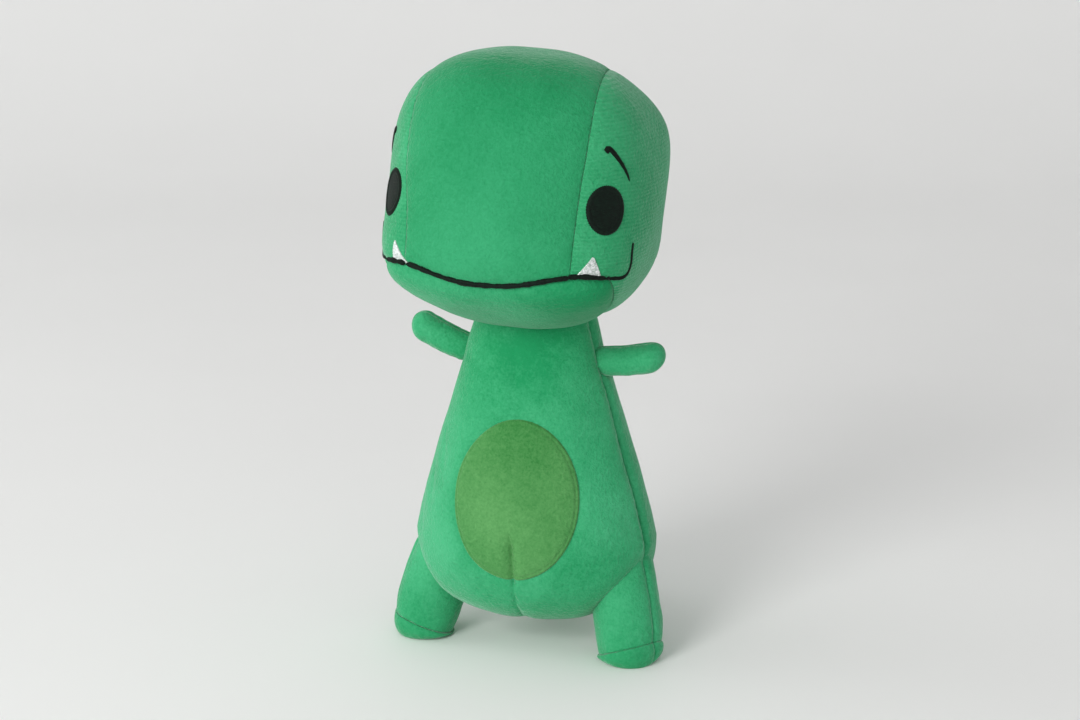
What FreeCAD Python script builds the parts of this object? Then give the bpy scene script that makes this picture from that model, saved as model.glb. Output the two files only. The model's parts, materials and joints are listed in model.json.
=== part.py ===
import FreeCAD, Part
import math
import os
from FreeCAD import Vector

# A sewn plush dinosaur that stands on two short legs and its tail.  Millimetres.
# Origin: on the floor, midway between the sides and between the face and the tail tip.
# +Z is up, the face looks along -Y, and the toy's own left side is +X.
# Every cover is a shell of pile fabric round its own filling.

# Fabric, thread and running room
CLOTH = 1.5              # thickness of a pile fabric panel
THREAD = 0.8             # how far embroidery and applique stand proud of a panel
PLAY = 0.4               # gap between a limb and the socket that it turns in
FAN_TRIM = 0.05          # keeps a socket's flat sides from just touching its round ends

# Head: a rounded box, wider than it is deep
HEAD_WIDTH = 106.0
HEAD_DEPTH = 100.0
HEAD_HEIGHT = 110.0
HEAD_MID_Z = 190.0
HEAD_MID_Y = -9.7
HEAD_SQUARENESS = 2.75   # exponent of the rounded box: 2 is an ellipse, more is squarer
CROWN_SQUARENESS = 2.1   # the same, for the depth over the crown
HEAD_LEAN = 2.6          # the muzzle stands forward and the back of the head stands back
HEAD_LEAN_Z = 160.0      # height where the muzzle is furthest forward
HEAD_LEAN_PITCH = 90.0   # height over which the lean repeats
FACE_SEAM_X = 35.0       # the two long seams beside the face

# Mouth and jaw
MOUTH_Z = 161.2          # mouth height at the middle
MOUTH_RISE = 5.0         # how much higher the mouth is at its ends
MOUTH_LEVEL_X = 35.0     # the mouth is level beyond this distance from the middle
MOUTH_FLATNESS = 1.3     # above 1 the middle of the mouth is flatter
MOUTH_HALF_WIDTH = 45.5
MOUTH_THREAD = 2.3       # width of the satin stitch
JAW_CORNER_Y = -44.0
JAW_SLOPE = 0.68         # the jaw's rear seam drops this much for each mm backwards

# Side face details, measured on a plane that looks at the face's corner at 45 degrees:
# across is positive towards the back, and heights are above the floor.
EYE_ACROSS = -2.0
EYE_Z = 190.4
EYE_HALF_WIDTH = 8.2
EYE_HALF_HEIGHT = 9.2
TOOTH_INNER = -15.0
TOOTH_OUTER = -5.8
TOOTH_TIP_ACROSS = -9.2
TOOTH_BASE_Z = 166.8
TOOTH_TIP_Z = 174.0
BROW_START = (0.2, 212.2)
BROW_MIDDLE = (5.2, 207.9)
BROW_END = (9.6, 200.0)
BROW_THICKNESS = 1.8
SMILE_START = (5.6, 165.6)
SMILE_MIDDLE = (9.0, 170.4)
SMILE_END = (10.1, 177.0)
SMILE_THREAD = 1.1
RIGHT_SHIFT = {"eye": 1.8, "tooth": -5.4, "brow": 3.2, "smile": 0.0}  # mm further back than on the left

# Torso: a pear
TORSO_HALF_WIDTH = 48.0
TORSO_WIDEST_Z = 47.0
TORSO_BOTTOM_Z = 10.5
TORSO_BOTTOM_SQUARENESS = 2.2
TORSO_TOP_Z = 130.0
NECK_Z = 137.0
NECK_HALF_WIDTH = 23.0
TORSO_DEPTH_LOW = 0.71   # depth as a share of width at the widest
TORSO_DEPTH_HIGH = 0.80  # and at the neck
TORSO_SQUARENESS = 2.15
SIDE_SEAM_Y = -2.0
PATCH_X = 1.2
PATCH_Z = 68.0
PATCH_HALF_WIDTH = 25.7
PATCH_HALF_HEIGHT = 31.5

# Neck plug: the firm ball of filling that the head turns and nods on
NECK_PIVOT = Vector(0, 0, 141)
NECK_BALL_RADIUS = 17.0

# Pellet pouch in the seat
POUCH_RADIUS = 13.0
POUCH_BOTTOM_Z = 23.0
POUCH_HEIGHT = 30.0
POUCH_Y = -10.0
POUCH_ROUND = 6.0

# Arms
ARM_RADIUS = 6.2
ARM_LENGTH = 22.6        # shoulder to the centre of the round tip
ARM_CLOTH = 1.2
SHOULDER_X = 25.0
SHOULDER_Z = 119.0
ARM_ELEVATION = {"left": 7.0, "right": 21.0}
ARM_TRAVEL = {"left": (-40.0, 30.0), "right": (-50.0, 16.0)}

# Legs
HIP = {"left": Vector(36, -5, 42), "right": Vector(-36, -4, 42)}
FOOT = {"left": Vector(46.05, -18, 0), "right": Vector(-46, -13, 0)}
HIP_RADIUS = 14.5
ANKLE_RADIUS = 12.9
LEG_TRAVEL = (-20.0, 20.0)
SOLE_THICKNESS = 2.5

# Tail
TAIL_ROOT = Vector(0, 20, 40)
TAIL_TIP = Vector(0, 54.07, 6.2)
TAIL_ROOT_RADIUS = 16.0
TAIL_TIP_RADIUS = 6.5
TAIL_TRAVEL = (0.0, 35.0)

HEAD_SECTIONS = 13
TORSO_SECTIONS = 12
SECTION_POINTS = 32
MOUTH_POINTS = 15
REACH = 200.0            # longer than any part of the toy, for cutting tools
FLOOR = Vector(-REACH, -REACH, -REACH)


def save(node, shape):
    """Write one node and print its size."""
    shape.exportStep("parts/" + node + ".step")
    print(node, "solids", len(shape.Solids), "volume", round(shape.Volume), "valid", shape.isValid())


def largest_pieces(shape, smallest):
    """Keep the solids of a cut shape that are larger than a crumb."""
    kept = [solid for solid in shape.Solids if solid.Volume > smallest]
    if len(kept) == 1:
        return kept[0]
    return Part.makeCompound(kept)


def bulge(offset, half, squareness):
    """Half width of a rounded outline at a distance from its middle, as a share of the full one."""
    share = min(abs(offset) / half, 1.0)
    return (1 - share ** squareness) ** (1 / squareness)


def section(half_width, half_depth, mid_y, z, squareness):
    """Closed wire of one level section: a superellipse."""
    points = []
    for step in range(SECTION_POINTS):
        turn = 2 * math.pi * step / SECTION_POINTS
        east = math.cos(turn)
        north = math.sin(turn)
        reach = (abs(east / half_width) ** squareness + abs(north / half_depth) ** squareness)
        radius = reach ** (-1 / squareness)
        points.append(Vector(radius * east, mid_y + radius * north, z))
    curve = Part.BSplineCurve()
    curve.interpolate(points, PeriodicFlag=True)
    return Part.Wire(curve.toShape())


def head_form(grow):
    """The head's rounded box, made larger or smaller all round by grow."""
    half_height = HEAD_HEIGHT / 2 + grow
    half_width = HEAD_WIDTH / 2 + grow
    half_depth = HEAD_DEPTH / 2 + grow
    wires = []
    for step in range(HEAD_SECTIONS):
        angle = math.radians(-78 + 156 * step / (HEAD_SECTIONS - 1))
        offset = half_height * math.sin(angle)
        z = HEAD_MID_Z + offset
        depth_squareness = CROWN_SQUARENESS if offset > 0 else HEAD_SQUARENESS
        lean = HEAD_LEAN * math.cos(2 * math.pi * (z - HEAD_LEAN_Z) / HEAD_LEAN_PITCH)
        width = half_width * bulge(offset, half_height, HEAD_SQUARENESS)
        depth = half_depth * bulge(offset, half_height, depth_squareness)
        wires.append(section(width, depth, HEAD_MID_Y - lean, z, HEAD_SQUARENESS))
    return Part.makeLoft(wires, True, False)


def torso_half_width(z):
    """Half width of the torso at a height: rounded below the widest level, tapering above it."""
    if z < TORSO_WIDEST_Z:
        drop = TORSO_WIDEST_Z - z
        return TORSO_HALF_WIDTH * bulge(drop, TORSO_WIDEST_Z - TORSO_BOTTOM_Z, TORSO_BOTTOM_SQUARENESS)
    climb = (z - TORSO_WIDEST_Z) / (NECK_Z - TORSO_WIDEST_Z)
    taper = TORSO_HALF_WIDTH + (NECK_HALF_WIDTH - TORSO_HALF_WIDTH) * climb
    return taper + 6.0 * climb * (1 - climb) ** 3


def torso_form(grow):
    """The torso's pear shape, made larger or smaller all round by grow."""
    low = TORSO_BOTTOM_Z + 0.6
    span = TORSO_TOP_Z - low
    wires = []
    for step in range(TORSO_SECTIONS):
        share = step / (TORSO_SECTIONS - 1)
        level = low + span * share ** 1.7
        width = torso_half_width(level)
        climb = max(0.0, (level - TORSO_WIDEST_Z) / (NECK_Z - TORSO_WIDEST_Z))
        depth = width * (TORSO_DEPTH_LOW + (TORSO_DEPTH_HIGH - TORSO_DEPTH_LOW) * climb)
        z = level + grow * (2 * share - 1)
        wires.append(section(width + grow, depth + grow, 0, z, TORSO_SQUARENESS))
    return Part.makeLoft(wires, True, False)


def box(low, high):
    """Box between two corners."""
    size = high.sub(low)
    return Part.makeBox(size.x, size.y, size.z, low)


def outline_prism(edges, direction):
    """Solid from a closed outline, carried along a direction."""
    return Part.Face(Part.Wire(edges)).extrude(direction)


def mouth_height(x):
    """Height of the mouth: a sine squared rise from the middle, level at its ends."""
    share = min(1, abs(x) / MOUTH_LEVEL_X) ** MOUTH_FLATNESS
    return MOUTH_Z + MOUTH_RISE * math.sin(share * math.pi / 2) ** 2


def mouth_curve(lift):
    """The mouth's curve in the plane y = 0, raised by lift, and its two ends."""
    points = []
    for step in range(MOUTH_POINTS):
        x = MOUTH_HALF_WIDTH * (2 * step / (MOUTH_POINTS - 1) - 1)
        points.append(Vector(x, 0, mouth_height(x) + lift))
    curve = Part.BSplineCurve()
    curve.interpolate(points)
    return curve.toShape(), points[0], points[-1]


def jaw_tool():
    """Everything below the mouth and in front of the jaw's rear seam."""
    curve, low, high = mouth_curve(0)
    outer = [low, Vector(-REACH, 0, low.z), Vector(-REACH, 0, 0), Vector(REACH, 0, 0),
             Vector(REACH, 0, high.z), high]
    edges = [curve]
    for first, second in zip(outer, outer[1:]):
        edges.append(Part.makeLine(first, second))
    below_mouth = outline_prism(Part.sortEdges(edges)[0], Vector(0, -REACH, 0))
    corner_z = MOUTH_Z + MOUTH_RISE + 20
    corner_y = JAW_CORNER_Y - 20 / JAW_SLOPE
    foot_y = corner_y + corner_z / JAW_SLOPE
    corners = [Vector(-REACH, corner_y, corner_z), Vector(-REACH, foot_y, 0),
               Vector(-REACH, -REACH, 0), Vector(-REACH, -REACH, corner_z)]
    corners.append(corners[0])
    in_front = outline_prism(Part.makePolygon(corners).Edges, Vector(2 * REACH, 0, 0))
    return below_mouth.common(in_front)


def face_point(across, z):
    """Point on the plane that looks at the left corner of the face at 45 degrees."""
    share = math.sqrt(0.5)
    return Vector(across * share, across * share, z)


def face_prism(edges):
    """Solid that a face detail cuts out of the skin, carried outwards at 45 degrees."""
    share = math.sqrt(0.5) * REACH
    return outline_prism(edges, Vector(share, -share, 0))


def eye_tool():
    """Upright oval."""
    left = face_point(EYE_ACROSS - EYE_HALF_WIDTH, EYE_Z)
    top = face_point(EYE_ACROSS, EYE_Z + EYE_HALF_HEIGHT)
    ellipse = Part.Ellipse(top, left, face_point(EYE_ACROSS, EYE_Z))
    return face_prism([ellipse.toShape()])


def tooth_tool():
    """Small triangle that stands on the mouth."""
    corners = [face_point(TOOTH_INNER, TOOTH_BASE_Z), face_point(TOOTH_OUTER, TOOTH_BASE_Z),
               face_point(TOOTH_TIP_ACROSS, TOOTH_TIP_Z)]
    corners.append(corners[0])
    return face_prism(Part.makePolygon(corners).Edges)


def brow_tool():
    """Curved stroke, thick where it starts and pointed where it ends."""
    half = BROW_THICKNESS / 2
    tip = face_point(*BROW_END)
    upper_start = face_point(BROW_START[0] + half, BROW_START[1] + half)
    lower_start = face_point(BROW_START[0] - half, BROW_START[1] - half)
    upper = face_point(BROW_MIDDLE[0] + half * 0.7, BROW_MIDDLE[1] + half * 0.7)
    lower = face_point(BROW_MIDDLE[0] - half * 0.5, BROW_MIDDLE[1] - half * 0.5)
    edges = [Part.Arc(upper_start, upper, tip).toShape(), Part.Arc(tip, lower, lower_start).toShape(),
             Part.makeLine(lower_start, upper_start)]
    return face_prism(edges)


def smile_tool():
    """Thin line that turns up from the end of the mouth."""
    half = SMILE_THREAD / 2
    ends = []
    arcs = []
    for side in (-half, half):
        points = [face_point(SMILE_START[0] + side, SMILE_START[1] - side),
                  face_point(SMILE_MIDDLE[0] + side, SMILE_MIDDLE[1] - side),
                  face_point(SMILE_END[0] + side, SMILE_END[1])]
        arcs.append(Part.Arc(*points).toShape())
        ends.append((points[0], points[2]))
    edges = [arcs[0], Part.makeLine(ends[0][1], ends[1][1]), arcs[1], Part.makeLine(ends[1][0], ends[0][0])]
    return face_prism(Part.sortEdges(edges)[0])


def mirrored(shape):
    """The same shape on the toy's other side."""
    return shape.mirror(Vector(0, 0, 0), Vector(1, 0, 0))


def mouth_tool():
    """Band along the mouth, as wide as its stitching."""
    upper, upper_low, upper_high = mouth_curve(MOUTH_THREAD / 2)
    lower, lower_low, lower_high = mouth_curve(-MOUTH_THREAD / 2)
    edges = [upper, lower, Part.makeLine(upper_low, lower_low), Part.makeLine(upper_high, lower_high)]
    return outline_prism(Part.sortEdges(edges)[0], Vector(0, -REACH, 0))


def build_head():
    """Three panels and a jaw round one filling, with the face stitched on."""
    skin = head_form(0)
    filling = head_form(-CLOTH)
    socket = Part.makeSphere(NECK_BALL_RADIUS + PLAY, NECK_PIVOT)
    shell = skin.cut(filling).cut(socket)
    jaw = jaw_tool()
    upper_shell = shell.cut(jaw)
    save("jaw_panel", largest_pieces(shell.common(jaw), 1))
    middle = box(Vector(-FACE_SEAM_X, -REACH, 0), Vector(FACE_SEAM_X, REACH, 2 * REACH))
    left = box(Vector(FACE_SEAM_X, -REACH, 0), Vector(REACH, REACH, 2 * REACH))
    right = box(Vector(-REACH, -REACH, 0), Vector(-FACE_SEAM_X, REACH, 2 * REACH))
    save("head_front_panel", largest_pieces(upper_shell.common(middle), 1))
    save("head_side_panel_left", largest_pieces(upper_shell.common(left), 1))
    save("head_side_panel_right", largest_pieces(upper_shell.common(right), 1))
    save("head_stuffing", largest_pieces(filling.cut(socket), 1))
    raised = head_form(THREAD).cut(skin)
    mouth = mouth_tool()
    save("mouth_line", largest_pieces(raised.common(mouth), 1))
    details = {"eye": eye_tool(), "tooth": tooth_tool(), "brow": brow_tool(), "smile": smile_tool()}
    for name, tool in details.items():
        clear = tool.cut(mouth)
        save(name + "_left", largest_pieces(raised.common(clear), 0.5))
        shifted = tool.translated(face_point(RIGHT_SHIFT[name], 0)).cut(mouth)
        save(name + "_right", largest_pieces(raised.common(mirrored(shifted)), 0.5))


def turned_profile(root, tip, root_radius, tip_radius, beyond):
    """Round limb about its own axis: a ball at the root, a taper, and a ball at the tip."""
    axis = tip.sub(root)
    length = axis.Length + beyond
    slope = (tip_radius - root_radius) / axis.Length
    end_radius = root_radius + slope * length
    corner = math.sqrt(0.5)
    root_arc = Part.Arc(Vector(0, 0, -root_radius), Vector(root_radius * corner, 0, -root_radius * corner),
                        Vector(root_radius, 0, 0)).toShape()
    side = Part.makeLine(Vector(root_radius, 0, 0), Vector(end_radius, 0, length))
    tip_arc = Part.Arc(Vector(end_radius, 0, length),
                       Vector(end_radius * corner, 0, length + end_radius * corner),
                       Vector(0, 0, length + end_radius)).toShape()
    spine = Part.makeLine(Vector(0, 0, length + end_radius), Vector(0, 0, -root_radius))
    face = Part.Face(Part.Wire([root_arc, side, tip_arc, spine]))
    solid = face.revolve(Vector(0, 0, 0), Vector(0, 0, 1), 360)
    solid.Placement = FreeCAD.Placement(root, FreeCAD.Rotation(Vector(0, 0, 1), axis))
    return solid


def swing_room(pivot, axis, aim, radius, reach, travel):
    """Space that a round limb sweeps, as simple solids: both end positions and the fan between."""
    low, high = travel
    half = radius - FAN_TRIM
    fan = Part.makeCylinder(reach, 2 * half, Vector(0, 0, -half), Vector(0, 0, 1), high - low)
    fan.rotate(Vector(0, 0, 0), Vector(0, 0, 1), low)
    room = [fan, Part.makeSphere(radius)]
    for angle in (low, high):
        bearing = math.radians(angle)
        end = Vector(math.cos(bearing), math.sin(bearing), 0)
        room.append(Part.makeCylinder(radius, reach, Vector(0, 0, 0), end))
    third = axis.cross(aim)
    turn = FreeCAD.Matrix(aim.x, third.x, axis.x, pivot.x, aim.y, third.y, axis.y, pivot.y,
                          aim.z, third.z, axis.z, pivot.z, 0, 0, 0, 1)
    for solid in room:
        solid.Placement = FreeCAD.Placement(turn).multiply(solid.Placement)
    return room


def unit(vector):
    """The same direction with length one."""
    return vector.multiply(1 / vector.Length)


def arm_layout(side):
    """Shoulder, tip and turning axis of one arm: a positive turn raises it."""
    sign = 1 if side == "left" else -1
    rise = math.radians(ARM_ELEVATION[side])
    shoulder = Vector(sign * SHOULDER_X, 0, SHOULDER_Z)
    aim = Vector(sign * math.cos(rise), 0, math.sin(rise))
    return shoulder, shoulder.add(Vector(aim).multiply(ARM_LENGTH)), Vector(0, -sign, 0)


def leg_layout(side):
    """Hip, foot and turning axis of one leg: a positive turn swings the foot forwards."""
    hip = HIP[side]
    foot = FOOT[side]
    aim = unit(foot.sub(hip))
    across = Vector(-1, 0, 0)
    axis = unit(across.sub(Vector(aim).multiply(across.dot(aim))))
    return hip, foot, axis


def build_arm(side):
    """Front and back halves round a little filling."""
    shoulder, tip, _ = arm_layout(side)
    skin = turned_profile(shoulder, tip, ARM_RADIUS, ARM_RADIUS, 0)
    filling = turned_profile(shoulder, tip, ARM_RADIUS - ARM_CLOTH, ARM_RADIUS - ARM_CLOTH, 0)
    shell = skin.cut(filling)
    front = box(Vector(-REACH, -REACH, 0), Vector(REACH, 0, REACH))
    back = box(Vector(-REACH, 0, 0), Vector(REACH, REACH, REACH))
    save("arm_" + side + "_front", largest_pieces(shell.common(front), 1))
    save("arm_" + side + "_back", largest_pieces(shell.common(back), 1))
    save("arm_" + side + "_stuffing", filling)


def build_leg(side):
    """A tube of fabric closed by a flat sole, round its filling."""
    hip, foot, _ = leg_layout(side)
    beyond = 2 * ANKLE_RADIUS
    skin = turned_profile(hip, foot, HIP_RADIUS, ANKLE_RADIUS, beyond)
    filling = turned_profile(hip, foot, HIP_RADIUS - CLOTH, ANKLE_RADIUS - CLOTH, beyond)
    above_sole = box(Vector(-REACH, -REACH, SOLE_THICKNESS), Vector(REACH, REACH, REACH))
    sole_slab = box(Vector(-REACH, -REACH, 0), Vector(REACH, REACH, SOLE_THICKNESS))
    save("leg_" + side + "_cover", largest_pieces(skin.cut(filling).common(above_sole), 1))
    save("leg_" + side + "_sole", largest_pieces(skin.common(sole_slab), 1))
    save("leg_" + side + "_stuffing", largest_pieces(filling.common(above_sole), 1))


def build_tail():
    """Left and right halves round the filling, resting on the floor at the tip."""
    above_floor = box(Vector(-REACH, -REACH, 0), Vector(REACH, REACH, REACH))
    skin = turned_profile(TAIL_ROOT, TAIL_TIP, TAIL_ROOT_RADIUS, TAIL_TIP_RADIUS, 0).common(above_floor)
    filling = turned_profile(TAIL_ROOT, TAIL_TIP, TAIL_ROOT_RADIUS - CLOTH, TAIL_TIP_RADIUS - CLOTH, 0)
    shell = skin.cut(filling)
    left = box(Vector(0, -REACH, 0), Vector(REACH, REACH, REACH))
    right = box(Vector(-REACH, -REACH, 0), Vector(0, REACH, REACH))
    save("tail_left_panel", largest_pieces(shell.common(left), 1))
    save("tail_right_panel", largest_pieces(shell.common(right), 1))
    save("tail_stuffing", filling)


def torso_sockets():
    """All the room that the neck, arms, legs and tail need inside the torso."""
    room = [Part.makeSphere(NECK_BALL_RADIUS + PLAY, NECK_PIVOT)]
    for side in ("left", "right"):
        shoulder, tip, axis = arm_layout(side)
        aim = unit(tip.sub(shoulder))
        room += swing_room(shoulder, axis, aim, ARM_RADIUS + PLAY, REACH, ARM_TRAVEL[side])
        hip, foot, axis = leg_layout(side)
        aim = unit(foot.sub(hip))
        room += swing_room(hip, axis, aim, HIP_RADIUS + PLAY, REACH, LEG_TRAVEL)
    aim = unit(TAIL_TIP.sub(TAIL_ROOT))
    room += swing_room(TAIL_ROOT, Vector(1, 0, 0), aim, TAIL_ROOT_RADIUS + PLAY, REACH, TAIL_TRAVEL)
    return room


def build_torso():
    """Front panel, two back panels, belly patch, filling and pellet pouch."""
    skin = torso_form(0)
    inside = torso_form(-CLOTH)
    raised = torso_form(THREAD).cut(skin)
    shell = skin.cut(inside)
    pouch = Part.makeCylinder(POUCH_RADIUS, POUCH_HEIGHT, Vector(0, POUCH_Y, POUCH_BOTTOM_Z))
    rims = [edge for edge in pouch.Edges if isinstance(edge.Curve, Part.Circle)]
    pouch = pouch.makeFillet(POUCH_ROUND, rims)
    filling = inside.cut(pouch)
    for room in torso_sockets():
        shell = shell.cut(room)
        filling = filling.cut(room)
    front = box(Vector(-REACH, -REACH, 0), Vector(REACH, SIDE_SEAM_Y, REACH))
    back_left = box(Vector(0, SIDE_SEAM_Y, 0), Vector(REACH, REACH, REACH))
    back_right = box(Vector(-REACH, SIDE_SEAM_Y, 0), Vector(0, REACH, REACH))
    save("torso_front_panel", largest_pieces(shell.common(front), 5))
    save("torso_back_left_panel", largest_pieces(shell.common(back_left), 5))
    save("torso_back_right_panel", largest_pieces(shell.common(back_right), 5))
    save("torso_stuffing", largest_pieces(filling, 20))
    save("pellet_pouch", pouch)
    top = Vector(PATCH_X, 0, PATCH_Z + PATCH_HALF_HEIGHT)
    side = Vector(PATCH_X - PATCH_HALF_WIDTH, 0, PATCH_Z)
    oval = Part.Ellipse(top, side, Vector(PATCH_X, 0, PATCH_Z))
    patch = outline_prism([oval.toShape()], Vector(0, -REACH, 0))
    save("belly_patch", largest_pieces(raised.common(patch), 1))


def main():
    """Build every node."""
    os.makedirs("parts", exist_ok=True)
    build_torso()
    build_head()
    save("neck_plug", Part.makeSphere(NECK_BALL_RADIUS, NECK_PIVOT))
    for side in ("left", "right"):
        build_arm(side)
        build_leg(side)
    build_tail()


main()
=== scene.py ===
"""A stuffed dinosaur: sewn pile covers, their filling, an embroidered face and a plain studio.

Shapes are worked out in millimetres in the frame's own axes: +Z up, the face towards -Y,
and the toy's own left side on +X.  They become metres when a mesh is made.
"""
from __future__ import annotations

import json
import logging
import math
from dataclasses import dataclass, field
from enum import Enum

import bpy
import numpy as np
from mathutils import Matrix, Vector

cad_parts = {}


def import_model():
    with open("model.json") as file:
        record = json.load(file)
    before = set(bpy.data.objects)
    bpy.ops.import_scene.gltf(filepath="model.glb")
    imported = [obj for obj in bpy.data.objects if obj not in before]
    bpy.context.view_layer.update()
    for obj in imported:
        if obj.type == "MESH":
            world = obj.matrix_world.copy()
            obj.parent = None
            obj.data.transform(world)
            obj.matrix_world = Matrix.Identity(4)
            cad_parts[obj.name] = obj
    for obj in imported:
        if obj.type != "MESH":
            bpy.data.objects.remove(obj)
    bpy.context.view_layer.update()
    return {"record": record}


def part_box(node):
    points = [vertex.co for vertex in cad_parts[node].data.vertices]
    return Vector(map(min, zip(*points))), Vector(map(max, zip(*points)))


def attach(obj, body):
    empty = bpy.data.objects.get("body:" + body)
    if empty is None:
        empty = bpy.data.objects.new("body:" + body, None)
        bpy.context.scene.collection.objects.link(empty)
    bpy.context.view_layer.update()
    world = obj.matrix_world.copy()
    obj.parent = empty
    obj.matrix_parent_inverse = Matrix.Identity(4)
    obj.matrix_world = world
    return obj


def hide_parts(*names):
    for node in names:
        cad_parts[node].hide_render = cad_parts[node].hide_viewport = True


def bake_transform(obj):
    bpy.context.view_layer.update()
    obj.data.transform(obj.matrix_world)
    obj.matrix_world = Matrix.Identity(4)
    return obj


MM = 0.001
log = logging.getLogger("dinosaur")

Array = np.ndarray


class Side(Enum):
    """One side of the toy; the value is the sign of its X."""

    LEFT = 1
    RIGHT = -1

    @property
    def word(self) -> str:
        """The side as it stands in node names."""
        return self.name.lower()


# ---------------------------------------------------------------- frame readings


def node_box(node: str) -> tuple[Array, Array]:
    """Lowest and highest corner of a node, in millimetres.

    Args:
        node: Name of the node.

    Returns:
        The two corners.
    """
    low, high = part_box(node)
    return np.array(low) / MM, np.array(high) / MM


def joint_point(frame: dict, name: str) -> Array:
    """Pivot of a joint, in millimetres.

    Args:
        name: Name of the joint.

    Returns:
        The pivot.
    """
    for joint in frame["record"]["behaviour"]["joints"]:
        if joint["name"] == name:
            return np.array(joint["pos_m"]) / MM
    raise KeyError(name)


# ---------------------------------------------------------------- small geometry helpers


def unit(vectors: Array) -> Array:
    """Vectors scaled to length one."""
    return vectors / np.linalg.norm(vectors, axis=-1, keepdims=True)


def smooth(value: Array | float) -> Array | float:
    """Ease from 0 to 1 with level ends: t squared times (3 - 2t)."""
    t = np.clip(value, 0.0, 1.0)
    return t * t * (3 - 2 * t)


def slerp(start: Array, end: Array, share: Array) -> Array:
    """Directions on the great circle between two unit directions.

    Args:
        start: Unit directions.
        end: Unit directions.
        share: 0 at the start and 1 at the end, with a last axis of one.

    Returns:
        Unit directions.
    """
    angle = np.arccos(np.clip((start * end).sum(-1, keepdims=True), -1, 1))
    angle = np.maximum(angle, 1e-6)
    return (np.sin((1 - share) * angle) * start + np.sin(share * angle) * end) / np.sin(angle)


def through(points: tuple, steps: int) -> Array:
    """Smooth curve through several points (Catmull-Rom).

    Args:
        points: The points, in order.
        steps: Number of points returned.

    Returns:
        The points of the curve.
    """
    knots = np.asarray(points, float)
    knots = np.concatenate([[2 * knots[0] - knots[1]], knots, [2 * knots[-1] - knots[-2]]])
    run = np.linspace(0, len(points) - 1, steps)
    first = np.minimum(run.astype(int), len(points) - 2)
    t = (run - first)[:, None]
    a, b, c, d = (knots[first + k] for k in range(4))
    return 0.5 * (2 * b + (c - a) * t + (2 * a - 5 * b + 4 * c - d) * t ** 2
                  + (3 * b - a - 3 * c + d) * t ** 3)


def gap_to(points: Array, line: Array) -> Array:
    """Distance from each point to the nearest point of a finely cut line.

    Args:
        points: Points, the last axis being X, Y, Z.
        line: Points of the line.

    Returns:
        Distances with the shape of points less its last axis.
    """
    flat = points.reshape(-1, 3)
    best = np.full(len(flat), np.inf)
    for block in np.array_split(line, max(1, len(line) // 40)):
        offset = flat[:, None, :] - block[None, :, :]
        best = np.minimum(best, (offset ** 2).sum(-1).min(1))
    return np.sqrt(best).reshape(points.shape[:-1])


def lumps(points: Array, size: float, seed: int, waves: int = 14) -> Array:
    """Smooth unevenness: a sum of sine waves in random directions, about -1 to 1.

    Args:
        points: Where it is wanted.
        size: Rough distance between lumps.
        seed: Seed of the random directions.
        waves: Number of waves added.

    Returns:
        One value for each point.
    """
    chance = np.random.default_rng(seed)
    ways = unit(chance.normal(size=(waves, 3)))
    pace = 2 * math.pi / (size * chance.uniform(0.7, 1.5, waves))
    start = chance.uniform(0, 2 * math.pi, waves)
    total = np.zeros(points.shape[:-1])
    for way, step, phase in zip(ways, pace, start):
        total += np.sin(points @ way * step + phase)
    return total / math.sqrt(waves)


@dataclass(frozen=True)
class Crease:
    """A line along which the cover is drawn in.

    Attributes:
        line: Points of the line.
        depth: How far in the cover goes on the line.
        width: Distance over which the sharp groove fades.
        fade: Share of the depth at each point of the line, or None for all of it.
        pucker: Height of the small gathers across the line.
        pitch: Distance between the gathers.
    """

    line: Array
    depth: float
    width: float
    fade: Array | None = None
    pucker: float = 0.0
    pitch: float = 4.0

    def dip(self, points: Array) -> Array:
        """Depth of the crease at some points: an exponential groove with a wider soft dip round it."""
        gap = gap_to(points, self.line)
        groove = 0.6 * np.exp(-gap / self.width) + 0.4 * np.exp(-(gap / (4.5 * self.width)) ** 2)
        if self.fade is not None:
            groove = groove * self.share(points)
        if self.pucker:
            run = points.sum(-1) * 2 * math.pi / self.pitch
            near = np.exp(-(gap / (2.6 * self.width)) ** 2)
            groove = groove + self.pucker / self.depth * near * np.sin(run + 2.4 * lumps(points, 17, 5))
        return self.depth * groove

    def share(self, points: Array) -> Array:
        """The fade of the nearest point of the line."""
        flat = points.reshape(-1, 3)
        offset = ((flat[:, None, :] - self.line[None, :, :]) ** 2).sum(-1)
        return self.fade[offset.argmin(1)].reshape(points.shape[:-1])


def drawn_in(points: Array, creases: list[Crease]) -> Array:
    """How far several creases draw a cover in: close to the deepest one where they meet.

    Args:
        points: Points of the cover.
        creases: The creases.

    Returns:
        Depths, the fourth root of the sum of fourth powers.
    """
    total = np.zeros(points.shape[:-1])
    for crease in creases:
        total += np.clip(crease.dip(points), 0, None) ** 4
    return total ** 0.25


# ---------------------------------------------------------------- meshes


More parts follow.
